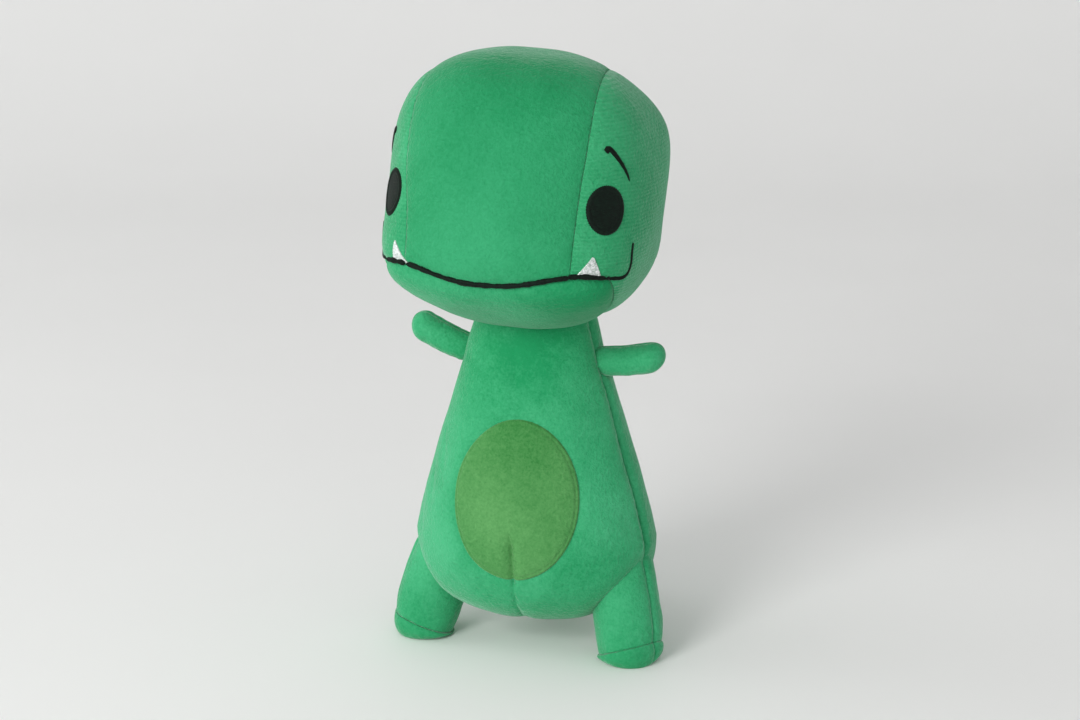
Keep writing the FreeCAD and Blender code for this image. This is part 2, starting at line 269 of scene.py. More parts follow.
@dataclass
class Sheet:
    """A grid of points that becomes a mesh.

    Attributes:
        points: Rows by columns by XYZ, in millimetres.
        closed: True if the last column joins the first.
        pole: Point that closes the first row, if any.
        end_pole: Point that closes the last row, if any.
    """

    points: Array
    closed: bool = False
    pole: Array | None = None
    end_pole: Array | None = None

    def vertices(self) -> Array:
        """All points, with the poles last."""
        parts = [self.points.reshape(-1, 3)]
        parts += [np.reshape(p, (1, 3)) for p in (self.pole, self.end_pole) if p is not None]
        return np.concatenate(parts)

    def faces(self) -> list[list[int]]:
        """Four-sided faces of the grid and triangles round the poles."""
        rows, columns = self.points.shape[:2]
        index = np.arange(rows * columns).reshape(rows, columns)
        if self.closed:
            index = np.concatenate([index, index[:, :1]], axis=1)
        quads = np.stack([index[:-1, :-1], index[:-1, 1:], index[1:, 1:], index[1:, :-1]], -1)
        faces = quads.reshape(-1, 4).tolist()
        last = rows * columns
        if self.pole is not None:
            ring = index[0]
            hub = np.full(len(ring) - 1, last)
            faces += np.stack([hub, ring[1:], ring[:-1]], -1).tolist()
            last += 1
        if self.end_pole is not None:
            ring = index[-1]
            hub = np.full(len(ring) - 1, last)
            faces += np.stack([hub, ring[:-1], ring[1:]], -1).tolist()
        return faces


@dataclass(frozen=True)
class Piece:
    """What a new piece is and where it belongs.

    Attributes:
        name: Object name.
        body: Body it rides on.
        nodes: Nodes it stands for.
        slot: Material slot of the record; not used.
        fill: How tightly it is stuffed, or None where it isn't a padded piece; not used.
        wall: Thickness of its cloth, in millimetres, or 0 for a closed form.
    """

    name: str
    body: str
    nodes: tuple[str, ...]
    slot: str
    fill: float | None = None
    wall: float = 0.0


def make_object(piece: Piece, sheets: list[Sheet], heart: Array,
                finish: bpy.types.Material) -> bpy.types.Object:
    """Make one piece from its grids, turn its faces outwards and give the cloth its thickness.

    Args:
        piece: What it is.
        sheets: The grids it is made of.
        heart: A point inside it, away from which its faces look.
        finish: Its material.

    Returns:
        The object, at the origin.
    """
    vertices = []
    faces = []
    count = 0
    for sheet in sheets:
        own = sheet.vertices()
        own_faces = sheet.faces()
        corners = np.array([face[:3] for face in own_faces])
        a, b, c = (own[corners[:, k]] for k in range(3))
        facing = (np.cross(b - a, c - a) * ((a + b + c) / 3 - heart)).sum()
        if facing < 0:
            own_faces = [face[::-1] for face in own_faces]
        faces += [[corner + count for corner in face] for face in own_faces]
        vertices.append(own)
        count += len(own)
    mesh = bpy.data.meshes.new(piece.name)
    mesh.from_pydata((np.concatenate(vertices) * MM).tolist(), [], faces)
    mesh.polygons.foreach_set("use_smooth", np.ones(len(mesh.polygons), bool))
    mesh.validate()
    mesh.update()
    obj = bpy.data.objects.new(piece.name, mesh)
    bpy.context.scene.collection.objects.link(obj)
    if piece.wall:
        wall = obj.modifiers.new("cloth", "SOLIDIFY")
        wall.thickness = piece.wall * MM
        wall.offset = -1.0
        settle(obj)
    keep_off_floor(obj.data)
    obj.data.materials.append(finish)
    if piece.nodes:
        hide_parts(*piece.nodes)
    log.info("%s: %d faces, rides on %s", piece.name, len(obj.data.polygons), piece.body)
    return obj


def keep_off_floor(mesh: bpy.types.Mesh) -> None:
    """Lift any point of a mesh that is under the floor up to it."""
    flat = np.empty(len(mesh.vertices) * 3, np.float32)
    mesh.vertices.foreach_get("co", flat)
    flat[2::3] = np.maximum(flat[2::3], 0.0)
    mesh.vertices.foreach_set("co", flat)
    mesh.update()


def settle(obj: bpy.types.Object) -> None:
    """Apply an object's modifiers to its mesh."""
    depsgraph = bpy.context.evaluated_depsgraph_get()
    mesh = bpy.data.meshes.new_from_object(obj.evaluated_get(depsgraph))
    obj.modifiers.clear()
    old = obj.data
    obj.data = mesh
    bpy.data.meshes.remove(old)
    mesh.name = obj.name


# ---------------------------------------------------------------- shader helpers


class Value:
    """A shader value that adds a Math node for each operator used on it."""

    def __init__(self, sheet: NodeSheet, socket: bpy.types.NodeSocket) -> None:
        """Wrap a socket of a node sheet."""
        self.sheet = sheet
        self.socket = socket

    def math(self, operation: str, *others: Value | float) -> Value:
        """Value of one Math operation on this value and others."""
        inputs = {0: self}
        for place, other in enumerate(others, start=1):
            inputs[place] = other
        return self.sheet.value("ShaderNodeMath", {"operation": operation}, inputs)

    def __add__(self, other: Value | float) -> Value:
        """Sum."""
        return self.math("ADD", other)

    def __sub__(self, other: Value | float) -> Value:
        """Difference."""
        return self.math("SUBTRACT", other)

    def __rsub__(self, other: float) -> Value:
        """Difference with the number first."""
        return (self * -1.0) + other

    def __mul__(self, other: Value | float) -> Value:
        """Product."""
        return self.math("MULTIPLY", other)

    def sine(self) -> Value:
        """Sine."""
        return self.math("SINE")

    def power(self, exponent: float) -> Value:
        """This value to a power."""
        return self.math("POWER", exponent)

    def clamped(self) -> Value:
        """This value held between 0 and 1."""
        return self.math("MINIMUM", 1.0).math("MAXIMUM", 0.0)


class NodeSheet:
    """The node tree of a material or of the world, built node by node."""

    def __init__(self, owner: bpy.types.Material | bpy.types.World) -> None:
        """Empty the owner's node tree."""
        owner.use_nodes = True
        self.owner = owner
        self.tree = owner.node_tree
        self.tree.nodes.clear()

    @classmethod
    def named(cls, name: str) -> NodeSheet:
        """Sheet of a new material."""
        return cls(bpy.data.materials.new(name))

    def node(self, kind: str, settings: dict, inputs: dict) -> bpy.types.Node:
        """Add one node.

        Args:
            kind: Node type.
            settings: Properties of the node, set first.
            inputs: Values or links of its sockets, by name or place.

        Returns:
            The node.
        """
        node = self.tree.nodes.new(kind)
        for key, setting in settings.items():
            setattr(node, key, setting)
        for key, entry in inputs.items():
            socket = node.inputs[key]
            if isinstance(entry, Value):
                self.tree.links.new(entry.socket, socket)
            else:
                socket.default_value = entry
        return node

    def value(self, kind: str, settings: dict, inputs: dict, output: str | int = 0) -> Value:
        """Add a node and wrap one of its outputs."""
        return Value(self, self.node(kind, settings, inputs).outputs[output])

    def place(self) -> Value:
        """Object coordinates, which are metres in the frame."""
        return self.value("ShaderNodeTexCoord", {}, {}, "Object")

    def stretched(self, scale: tuple[float, float, float]) -> Value:
        """Object coordinates scaled along each axis."""
        return self.value("ShaderNodeMapping", {}, {"Vector": self.place(), "Scale": scale})

    def noise(self, scale: float, detail: float = 2.0, roughness: float = 0.5,
              place: Value | None = None, distortion: float = 0.0) -> Value:
        """Noise from 0 to 1, with its scale in lumps per metre."""
        inputs = {"Vector": place or self.place(), "Scale": scale, "Detail": detail,
                  "Roughness": roughness, "Distortion": distortion}
        return self.value("ShaderNodeTexNoise", {}, inputs, "Fac")

    def near(self, centre: tuple[float, float, float], radius: float) -> Value:
        """1 at a point and fading round it, all in millimetres: 1 / (1 + 2 (d / radius)^4)."""
        target = tuple(part * MM for part in centre)
        inputs = {0: self.place(), 1: target}
        gap = self.value("ShaderNodeVectorMath", {"operation": "DISTANCE"}, inputs, "Value")
        far = (gap * (1 / (radius * MM))).power(4.0) * 2.0 + 1.0
        return far.power(-1.0)

    def mix(self, share: Value | float, first: Value | tuple, second: Value | tuple) -> Value:
        """Colour between two colours."""
        settings = {"data_type": "RGBA", "clamp_factor": True}
        return self.value("ShaderNodeMix", settings, {0: share, 6: first, 7: second}, 2)

    def bump(self, height: Value, distance: float, strength: float) -> Value:
        """Normal of a height, its distance in metres."""
        inputs = {"Height": height, "Distance": distance, "Strength": strength}
        return self.value("ShaderNodeBump", {}, inputs, "Normal")

    def finish(self, settings: dict) -> bpy.types.Material:
        """End the sheet with a Principled shader.

        Args:
            settings: Values or links of its sockets.

        Returns:
            The material.
        """
        shader = self.value("ShaderNodeBsdfPrincipled", {}, settings, "BSDF")
        self.node("ShaderNodeOutputMaterial", {}, {"Surface": shader})
        return self.owner


Colour = tuple[float, float, float, float]


def shade(red: float, green: float, blue: float) -> Colour:
    """Linear colour from display values of 0 to 255."""
    def linear(channel: float) -> float:
        """One channel."""
        level = channel / 255
        return level / 12.92 if level <= 0.04045 else ((level + 0.055) / 1.055) ** 2.4
    return linear(red), linear(green), linear(blue), 1.0


# ---------------------------------------------------------------- finishes


@dataclass(frozen=True)
class Zone:
    """A soft round spot of painted light on the pile: a painted highlight where it turns pale, a painted
    shade where it turns deep.

    Attributes:
        centre: Its middle, in millimetres.
        radius: Distance at which it has faded to a third, in millimetres.
        shift: How far the tone goes towards pale for a painted highlight, or towards deep for a painted
            shade where below 0.
    """

    centre: tuple[float, float, float]
    radius: float
    shift: float


# Painted light on the torso: painted highlights and sheen on both flanks, strongest low on the toy's right,
# and painted shade at the neck under the head and low on the toy's left front.
TORSO_PAINTED_LIGHT = (Zone((-42, -26, 44), 26, 0.65), Zone((-36, -22, 90), 20, 0.15), Zone((36, -26, 62), 18, 0.3),
               Zone((0, -20, 136), 24, -0.5), Zone((30, -34, 40), 14, -0.2))
# Painted shade under the chin on the toy's left, and a painted highlight on the chin on its right.
JAW_PAINTED_LIGHT = (Zone((38, -40, 146), 26, -0.7), Zone((-30, -54, 152), 18, 0.35))
# Painted highlight above the mouth, and painted shade over the crown.
FACE_PAINTED_LIGHT = (Zone((-10, -62, 172), 24, 0.3), Zone((0, -30, 240), 34, -0.35))
# Painted highlight in the middle of the patch, and painted shade at its top.
PATCH_PAINTED_LIGHT = (Zone((-8, -36, 62), 15, 0.25), Zone((4, -32, 92), 16, -0.4))


@dataclass(frozen=True)
class Pile:
    """Short brushed pile fabric.

    Attributes:
        name: Name of the material.
        deep: Colour where the pile lies towards the eye.
        pale: Colour where the pile has been brushed over.
        glow: Colour of the light that the fibre tips catch.
        rows: Strength of the knit rows that show through.
        sheen: Weight of the light on the fibre tips.
        blotch: Strength of the broad brushed patches.
        strokes: Strength of the small brush marks.
        row_pitch: Distance between knit rows, in metres.
        grain_scale: Grains per metre.
        zones: Spots of painted highlight and painted shade on the pile.
    """

    name: str
    deep: Colour
    pale: Colour
    glow: Colour
    rows: float = 0.0
    sheen: float = 0.45
    blotch: float = 1.0
    strokes: float = 0.8
    row_pitch: float = 1.4 * MM
    grain_scale: float = 1000.0
    zones: tuple[Zone, ...] = ()

    def material(self) -> bpy.types.Material:
        """Brushed patches, fibre grain, knit rows and spots of painted highlight and shade in one colour,
        with a fine bump.
        """
        sheet = NodeSheet.named(self.name)
        brushed = sheet.noise(24.0, detail=3.0, roughness=0.55, distortion=0.8)
        strokes = sheet.noise(130.0, detail=4.0, roughness=0.62, distortion=1.2)
        grain = sheet.noise(self.grain_scale, detail=3.0, roughness=0.7)
        tufts = sheet.noise(450.0, detail=2.0, roughness=0.6)
        height = sheet.value("ShaderNodeSeparateXYZ", {}, {"Vector": sheet.place()}, "Z")
        drift = sheet.noise(70.0, detail=2.0)
        ribs = (height * (2 * math.pi / self.row_pitch) + drift * 9.0).sine()
        worn = sheet.noise(45.0, detail=2.0, distortion=0.5)
        tone = ((brushed - 0.5) * (1.3 * self.blotch) + (strokes - 0.5) * self.strokes
                + (tufts - 0.5) * 0.5 + (grain - 0.5) * 1.2 + ribs * worn * (0.42 * self.rows) + 0.5)
        # Painted light: each spot pushes the tone pale for a painted highlight or deep for a painted shade.
        for painted_spot in self.zones:
            tone = tone + sheet.near(painted_spot.centre, painted_spot.radius) * painted_spot.shift
        colour = sheet.mix(tone.clamped(), self.deep, self.pale)
        relief = grain * 0.6 + tufts * 0.7 + ribs * (0.22 * self.rows)
        normal = sheet.bump(relief, 1.1 * MM, 0.7)
        rough = (grain - 0.5) * 0.15 + 0.86
        return sheet.finish({"Base Color": colour, "Roughness": rough.clamped(), "Normal": normal,
                             "Sheen Weight": self.sheen, "Sheen Roughness": 0.32, "Sheen Tint": self.glow,
                             "Specular IOR Level": 0.22})


@dataclass(frozen=True)
class Thread:
    """Satin stitch embroidery, whose threads are already in the mesh.

    Attributes:
        name: Name of the material.
        deep: Colour between threads, a painted shade of the gaps.
        pale: Colour of a thread that catches the light.
        rough: Roughness of the thread.
        glitter: Share of metallic flecks.
        specular: Level of the shine.
    """

    name: str
    deep: Colour
    pale: Colour
    rough: float = 0.5
    glitter: float = 0.0
    specular: float = 0.45

    def material(self) -> bpy.types.Material:
        """Fine fibre streaks of painted highlight and shade, with flecks that shine where there is glitter.
        """
        sheet = NodeSheet.named(self.name)
        streak = sheet.noise(2600.0, detail=2.0, place=sheet.stretched((0.35, 0.35, 1)))
        tangle = sheet.noise(900.0, detail=3.0, roughness=0.7)
        tone = (streak - 0.5) * 1.6 + (tangle - 0.5) * 1.4 + 0.42
        fleck = (sheet.noise(2100.0, detail=1.0).power(9.0) * 60.0 * self.glitter).clamped()
        colour = sheet.mix(tone.clamped(), self.deep, self.pale)
        colour = sheet.mix(fleck, colour, shade(250, 252, 255))
        rough = 1.0 - (fleck * 0.75 + (1 - self.rough))
        normal = sheet.bump(streak + tangle * 0.5, 0.25 * MM, 0.5)
        return sheet.finish({"Base Color": colour, "Roughness": rough.clamped(), "Normal": normal,
                             "Metallic": fleck * 0.6, "Sheen Weight": 0.04,
                             "Specular IOR Level": self.specular})


@dataclass(frozen=True)
class Fibre:
    """Loose white filling, or the plain cloth of the pouch."""

    name: str
    deep: Colour
    pale: Colour
    scale: float

    def material(self) -> bpy.types.Material:
        """Tangled fibres as noise at one scale."""
        sheet = NodeSheet.named(self.name)
        tangle = sheet.noise(self.scale, detail=5.0, roughness=0.7, distortion=1.5)
        colour = sheet.mix(tangle, self.deep, self.pale)
        normal = sheet.bump(tangle, 1.0 * MM, 0.7)
        return sheet.finish({"Base Color": colour, "Roughness": 0.95, "Normal": normal,
                             "Sheen Weight": 0.3})


@dataclass
class Finishes:
    """Every material, made once."""

    pile: bpy.types.Material = field(init=False)
    jaw: bpy.types.Material = field(init=False)
    smooth: bpy.types.Material = field(init=False)
    ribbed: bpy.types.Material = field(init=False)
    patch: bpy.types.Material = field(init=False)
    black: bpy.types.Material = field(init=False)
    white: bpy.types.Material = field(init=False)
    filling: bpy.types.Material = field(init=False)
    pouch: bpy.types.Material = field(init=False)

    def __post_init__(self) -> None:
        """Build each finish."""
        glow = shade(222, 246, 234)
        self.pile = Pile("pile_green", shade(18, 136, 82), shade(66, 168, 118), glow, strokes=0.45,
                         sheen=0.5, zones=TORSO_PAINTED_LIGHT).material()
        self.jaw = Pile("pile_green_jaw", shade(16, 132, 80), shade(60, 162, 112), glow, strokes=0.4,
                        sheen=0.26, zones=JAW_PAINTED_LIGHT).material()
        self.smooth = Pile("pile_green_smooth", shade(18, 128, 77), shade(50, 152, 103), glow,
                           strokes=0.25, blotch=0.7, sheen=0.42, zones=FACE_PAINTED_LIGHT).material()
        self.ribbed = Pile("pile_green_ribbed", shade(20, 134, 82), shade(66, 166, 116), glow,
                           rows=0.4, strokes=0.4, blotch=0.8, sheen=0.5).material()
        self.patch = Pile("pile_olive", shade(46, 118, 54), shade(92, 154, 90), shade(226, 244, 214),
                          blotch=0.7, strokes=0.4, sheen=0.38, zones=PATCH_PAINTED_LIGHT).material()
        self.black = Thread("thread_black", shade(2, 9, 5), shade(10, 30, 20), rough=0.65,
                            specular=0.12).material()
        self.white = Thread("thread_white", shade(132, 146, 139), shade(212, 222, 216), rough=0.4,
                            glitter=1.0).material()
        self.filling = Fibre("filling", shade(215, 216, 214), shade(244, 244, 240), 700.0).material()
        self.pouch = Fibre("pouch_cloth", shade(190, 184, 168), shade(222, 216, 200), 1600.0).material()


# ---------------------------------------------------------------- forms


@dataclass(frozen=True)
class Bulge:
    """A soft round swelling of a stuffed form.

    Attributes:
        centre: Its middle.
        height: How far out it goes.
        width: Distance at which it has faded to about a third.
    """

    centre: Array
    height: float
    width: float

    def lift(self, points: Array) -> Array:
        """Height of the swelling at some points."""
        return self.height * np.exp(-((points - self.centre) ** 2).sum(-1) / self.width ** 2)


@dataclass
class HeadForm:
    """The head's rounded box, before it is tilted.

    A point is on it where |x/a|^n + |y/b|^n + |z/c|^m = 1.  The exponent n is largest at the
    muzzle, and m is larger above the middle than below it.  The half width a and the half depth
    b shrink towards the crown, and the middle of each level section wanders with the height.
    """

    middle: Array
    half: Array
    squareness: float = 2.42
    muzzle_squareness: float = 0.83
    muzzle_z: float = 160.9
    muzzle_height: float = 14.0
    muzzle_depth: float = 0.03
    crown_squareness: float = 3.1
    chin_squareness: float = 2.28
    depth_taper: float = 0.28
    width_taper: float = 0.046
    lean: float = 4.0
    lean_z: float = 164.2
    lean_pitch: float = 90.0
    crown_shift: float = -2.7
    tilt: float = math.radians(1.14)
    tilt_z: float = 190.0
    creases: list[Crease] = field(default_factory=list)
    corners: list[Bulge] = field(default_factory=list)

    def heart(self, z: Array | float) -> Array | float:
        """Y of the middle of the section at a height."""
        return self.middle[1] - self.lean * np.cos(2 * math.pi * (z - self.lean_z) / self.lean_pitch)

    def excess(self, points: Array, grow: float = 0.0) -> Array:
        """Below 0 inside the form and above 0 outside it."""
        half = self.half + grow
        z = points[..., 2]
        rise = (z - self.middle[2]) / half[2]
        upper = np.clip(rise, 0, 1.2) ** 2
        muzzle = np.exp(-((z - self.muzzle_z) / self.muzzle_height) ** 2)
        width = half[0] * (1 - self.width_taper * upper)
        depth = half[1] * (1 - self.depth_taper * upper) * (1 + self.muzzle_depth * muzzle)
        n = self.squareness + self.muzzle_squareness * muzzle
        m = np.where(rise > 0, self.crown_squareness, self.chin_squareness)
        across = np.abs((points[..., 0] - self.middle[0] - self.crown_shift * upper) / width) ** n
        along = np.abs((points[..., 1] - self.heart(z)) / depth) ** n
        return across + along + np.abs(rise) ** m - 1

    def reach(self, origins: Array, ways: Array, grow: float = 0.0) -> Array:
        """Where rays from inside leave the form, found by halving an interval.

        Args:
            origins: Start points inside the form.
            ways: Unit directions.
            grow: How much larger the form is taken.

        Returns:
            Points on the form.
        """
        low = np.zeros(ways.shape[:-1])
        high = np.full(ways.shape[:-1], 120.0)
        for _ in range(24):
            mid = (low + high) / 2
            outside = self.excess(origins + ways * mid[..., None], grow) > 0
            high = np.where(outside, mid, high)
            low = np.where(outside, low, mid)
        return origins + ways * high[..., None]

    def from_middle(self, ways: Array, grow: float = 0.0) -> Array:
        """Points on the form in directions from its middle."""
        origins = np.broadcast_to(self.middle, ways.shape)
        return self.reach(origins, unit(ways), grow)

    def normals(self, points: Array) -> Array:
        """Outward directions, from the slope of the excess."""
        slope = np.empty(points.shape)
        for axis in range(3):
            step = np.zeros(3)
            step[axis] = 0.05
            slope[..., axis] = self.excess(points + step) - self.excess(points - step)
        return unit(slope)

    def dressed(self, points: Array, lift: float = 0.0) -> Array:
        """Points moved in by the creases and out by soft unevenness of the filling.

        Args:
            points: Points on the form.
            lift: Extra distance outwards.

        Returns:
            Points of the finished cover.
        """
        out = 0.4 * lumps(points, 46, 11) + 0.08 * lumps(points, 13, 12) + lift
        for corner in self.corners:
            out = out + corner.lift(points)
        out = out - drawn_in(points, self.creases)
        return points + self.normals(points) * out[..., None]

    def tilted(self, sheet: Sheet) -> Sheet:
        """A grid after the head's slight tilt to its left."""
        def turn(points: Array | None) -> Array | None:
            """Points turned about the Y axis through the middle of the head."""
            if points is None:
                return None
            x, rise = points[..., 0], points[..., 2] - self.tilt_z
            east = x * math.cos(self.tilt) + rise * math.sin(self.tilt)
            level = rise * math.cos(self.tilt) - x * math.sin(self.tilt)
            return np.stack([east, points[..., 1], self.tilt_z + level], -1)
        return Sheet(turn(sheet.points), sheet.closed, turn(sheet.pole), turn(sheet.end_pole))


@dataclass
class TorsoForm:
    """The torso's pear: level superellipse sections whose width follows the height.

    Below the widest level the half width is a quarter of a rounded outline.  Above it the
    half width tapers in a straight line to the neck, with a slight swell under it.
    """

    widest_z: float = 45.0
    bottom_z: float = 12.0
    neck_z: float = 137.0
    top_z: float = 147.0
    half_width: float = 49.2
    neck_half_width: float = 23.0
    squareness: float = 2.15
    bottom_squareness: float = 2.6
    depth_low: float = 0.71
    depth_high: float = 0.80
    plump: float = 1.0
    creases: list[Crease] = field(default_factory=list)

    def width(self, z: Array) -> Array:
        """Half width at a height."""
        drop = np.clip((self.widest_z - z) / (self.widest_z - self.bottom_z), 0, 1)
        low = self.half_width * (1 - drop ** self.bottom_squareness) ** (1 / self.bottom_squareness)
        climb = (z - self.widest_z) / (self.neck_z - self.widest_z)
        high = self.half_width + (self.neck_half_width - self.half_width) * climb
        high = high + 6.0 * climb * np.clip(1 - climb, 0, 1) ** 3
        return np.where(z < self.widest_z, low, high)

    def depth(self, z: Array) -> Array:
        """Half depth at a height."""
        climb = np.clip((z - self.widest_z) / (self.neck_z - self.widest_z), 0, 1)
        return self.width(z) * (self.depth_low + (self.depth_high - self.depth_low) * climb)

    def at(self, bearing: Array, run: Array, grow: float = 0.0) -> Array:
        """Points by bearing and by share of the way from the neck's end to the bottom.

        Args:
            bearing: Angle round Z, from +X towards +Y.
            run: 0 at the top and 1 at the bottom pole.
            grow: How much larger the form is taken.

        Returns:
            Points on the form.
        """
        upper = 0.62
        fall = np.clip((run - upper) / (1 - upper), 0, 1) * math.pi / 2
        straight = self.top_z + (self.widest_z - self.top_z) * np.clip(run / upper, 0, 1)
        low = self.widest_z - (self.widest_z - self.bottom_z) * np.sin(fall) ** (2 / self.bottom_squareness)
        z = np.where(run < upper, straight, low)
        width = self.width(z)
        round_off = self.half_width * np.cos(fall) ** (2 / self.bottom_squareness)
        width = np.where(run < upper, width, round_off) + grow
        depth = width * self.depth(z) / np.maximum(self.width(z), 1e-6)
        depth = np.where(run < upper, depth, width * self.depth_low)
        east = np.cos(bearing)
        north = np.sin(bearing)
        radius = (np.abs(east / width) ** self.squareness
                  + np.abs(north / depth) ** self.squareness) ** (-1 / self.squareness)
        level = z + grow * np.where(run < upper, 0, -np.sin(fall))
        return np.stack([radius * east, radius * north, level], -1)

    def front(self, x: Array, z: Array) -> Array:
        """Points on the front at a given x and z."""
        share = np.clip(1 - np.abs(x / self.width(z)) ** self.squareness, 0, 1)
        return np.stack([x, -self.depth(z) * share ** (1 / self.squareness), z], -1)

    def excess(self, points: Array) -> Array:
        """Below 0 inside the form and above 0 outside it."""
        z = np.clip(points[..., 2], self.bottom_z + 0.05, None)
        width = np.maximum(self.width(z), 0.5)
        depth = np.maximum(self.depth(z), 0.4)
        return (np.abs(points[..., 0] / width) ** self.squareness
                + np.abs(points[..., 1] / depth) ** self.squareness - 1)

    def normals(self, points: Array) -> Array:
        """Outward directions, from the slope of the excess."""
        slope = np.empty(points.shape)
        for axis in range(3):
            step = np.zeros(3)
            step[axis] = 0.05
            slope[..., axis] = self.excess(points + step) - self.excess(points - step)
        below = points[..., 2] < self.bottom_z + 0.8
        slope[below] = (0, 0, -1)
        return unit(slope)

    def dressed(self, points: Array, lift: Array | float = 0.0) -> Array:
        """Points moved in by the creases and out by soft unevenness of the filling.

        Args:
            points: Points on the form.
            lift: Extra distance outwards.

        Returns:
            Points of the finished cover.
        """
        out = self.plump + 0.45 * lumps(points, 42, 21) + 0.16 * lumps(points, 15, 22) + lift
        out = out - drawn_in(points, self.creases)
        return points + self.normals(points) * np.asarray(out)[..., None]


@dataclass
class LimbForm:
    """A round limb along a gently bent axis.

    Attributes:
        root: Start of the axis.
        tip: End of the axis.
        root_radius: Radius at the root.
        tip_radius: Radius at the tip.
        bow: How far the middle of the axis is moved, as a vector.
        up: Direction that bearing 90 degrees looks towards.
    """

    root: Array
    tip: Array
    root_radius: float
    tip_radius: float
    bow: Array
    up: Array

    def axis(self, run: Array) -> Array:
        """Points of the axis: a straight line with a parabolic bow."""
        run = np.asarray(run)[..., None]
        return self.root + (self.tip - self.root) * run + self.bow * 4 * run * (1 - run)

    def radius(self, run: Array) -> Array:
        """Radius along the limb."""
        return self.root_radius + (self.tip_radius - self.root_radius) * np.clip(run, -1, 1.2)

    def frame(self) -> tuple[Array, Array]:
        """Two directions across the limb: sideways and up."""
        along = unit(self.tip - self.root)
        rise = unit(self.up - along * (self.up @ along))
        return np.cross(along, rise), rise

    def at(self, bearing: Array, run: Array, grow: float | Array = 0.0) -> Array:
        """Points by bearing round the limb and share of its length."""
        side, rise = self.frame()
        out = np.cos(bearing)[..., None] * side + np.sin(bearing)[..., None] * rise
        return self.axis(run) + out * (self.radius(run) + grow)[..., None]

    def clearance(self, points: Array) -> Array:
        """Distance from the limb's surface: below 0 inside it."""
        line = self.axis(np.linspace(-0.4, 1, 120))
        flat = points.reshape(-1, 3)
        offset = np.sqrt(((flat[:, None, :] - line[None]) ** 2).sum(-1))
        nearest = offset.argmin(1)
        radius = self.radius(np.linspace(-0.4, 1, 120))[nearest]
        return (offset.min(1) - radius).reshape(points.shape[:-1])


@dataclass(frozen=True)
class SewnRing(Crease):
    """The crease where a limb is sewn to the torso: it follows the limb's own outline."""

    limb: LimbForm | None = None
    tuck: float = 1.6

    def dip(self, points: Array) -> Array:
        """Groove along the limb's outline, and a tuck where the torso is inside the limb."""
        gap = self.limb.clearance(points)
        groove = 0.65 * np.exp(-np.abs(gap) / self.width) + 0.35 * np.exp(-(gap / (4.0 * self.width)) ** 2)
        return self.depth * groove + self.tuck * smooth(-gap / 3.0)


# ---------------------------------------------------------------- stitching


@dataclass(frozen=True)
class Stroke:
    """A raised line of satin stitch.

    Attributes:
        height: Height of the middle of the line.
        pitch: Distance between threads.
        relief: Height of one thread against the gap beside it.
        slant: How much the threads lean across the line.
        wobble: Unevenness of the line's edges.
    """

    height: float = 0.9
    pitch: float = 0.42
    relief: float = 0.07
    slant: float = 1.2
    wobble: float = 0.06

    def sheet(self, middle: Array, sideways: Array, outward: Array, half: Array, seed: int) -> Sheet:
        """Grid of the line: half an ellipse across it, with a ridge for each thread.

        Args:
            middle: Points along the line.
            sideways: Unit directions across the line, in the surface.
            outward: Unit directions out of the surface.
            half: Half width at each point.
            seed: Seed of the unevenness.

        Returns:
            The grid, closed at both ends by its own narrowing.
        """
        steps = np.linalg.norm(np.diff(middle, axis=0), axis=1)
        run = np.concatenate([[0], np.cumsum(steps)])[:, None]
        turn = np.linspace(0, math.pi, 13)[None, :]
        uneven = 1 + self.wobble * lumps(middle, 1.1, seed)[:, None]
        width = half[:, None] * uneven
        ridge = np.sin(2 * math.pi * (run + self.slant * np.cos(turn) * width) / self.pitch)
        height = self.height * np.minimum(1.0, half / 0.5)[:, None] + self.relief * ridge
        across = np.cos(turn) * (width + 0.4 * self.relief * ridge)
        lift = np.sin(turn) ** 0.8 * height - 0.35
        points = (middle[:, None] + sideways[:, None] * across[..., None]
                  + outward[:, None] * lift[..., None])
        return Sheet(points)


def round_ends(count: int, blunt: float = 0.04) -> Array:
    """Share of the full width along a line whose ends are half circles."""
    run = np.linspace(0, 1, count)
    edge = np.clip(np.minimum(run, 1 - run) / blunt, 0, 1)
    return np.sqrt(np.clip(1 - (1 - edge) ** 2, 0, 1)) * 0.97 + 0.03


# ---------------------------------------------------------------- the head


@dataclass(frozen=True)
class Look:
    """Where the embroidery of one side of the face lies on a plane that faces the corner.

    Attributes:
        eye: Middle of the eye, as distance towards the back and height.
        eye_half_width: Half width of the eye.
        tooth: Inner and outer end of the tooth's base, and its tip, as distances towards the back.
        brow_back: How far the brow is moved towards the back.
    """

    eye: tuple[float, float]
    eye_half_width: float
    tooth: tuple[float, float, float]
    brow_back: float


# Distances are on a plane that faces the front corner of the head at 45 degrees.
LOOKS = {Side.LEFT: Look((-2.0, 190.4), 8.25, (-17.8, -5.4, -9.2), 0.0),
         Side.RIGHT: Look((-0.1, 190.4), 7.4, (-20.2, -11.4, -11.6), 11.0)}

# Paths on the same plane, each point a distance towards the back and a height.
BROW_PATH = ((-0.2, 211.3), (1.5, 212.4), (5.2, 208.0), (8.0, 203.6), (9.8, 199.6))
SMILE_PATH = ((-3.3, 165.4), (3.6, 164.6), (7.2, 165.7), (8.9, 168.8), (9.3, 173.0), (10.1, 177.0))


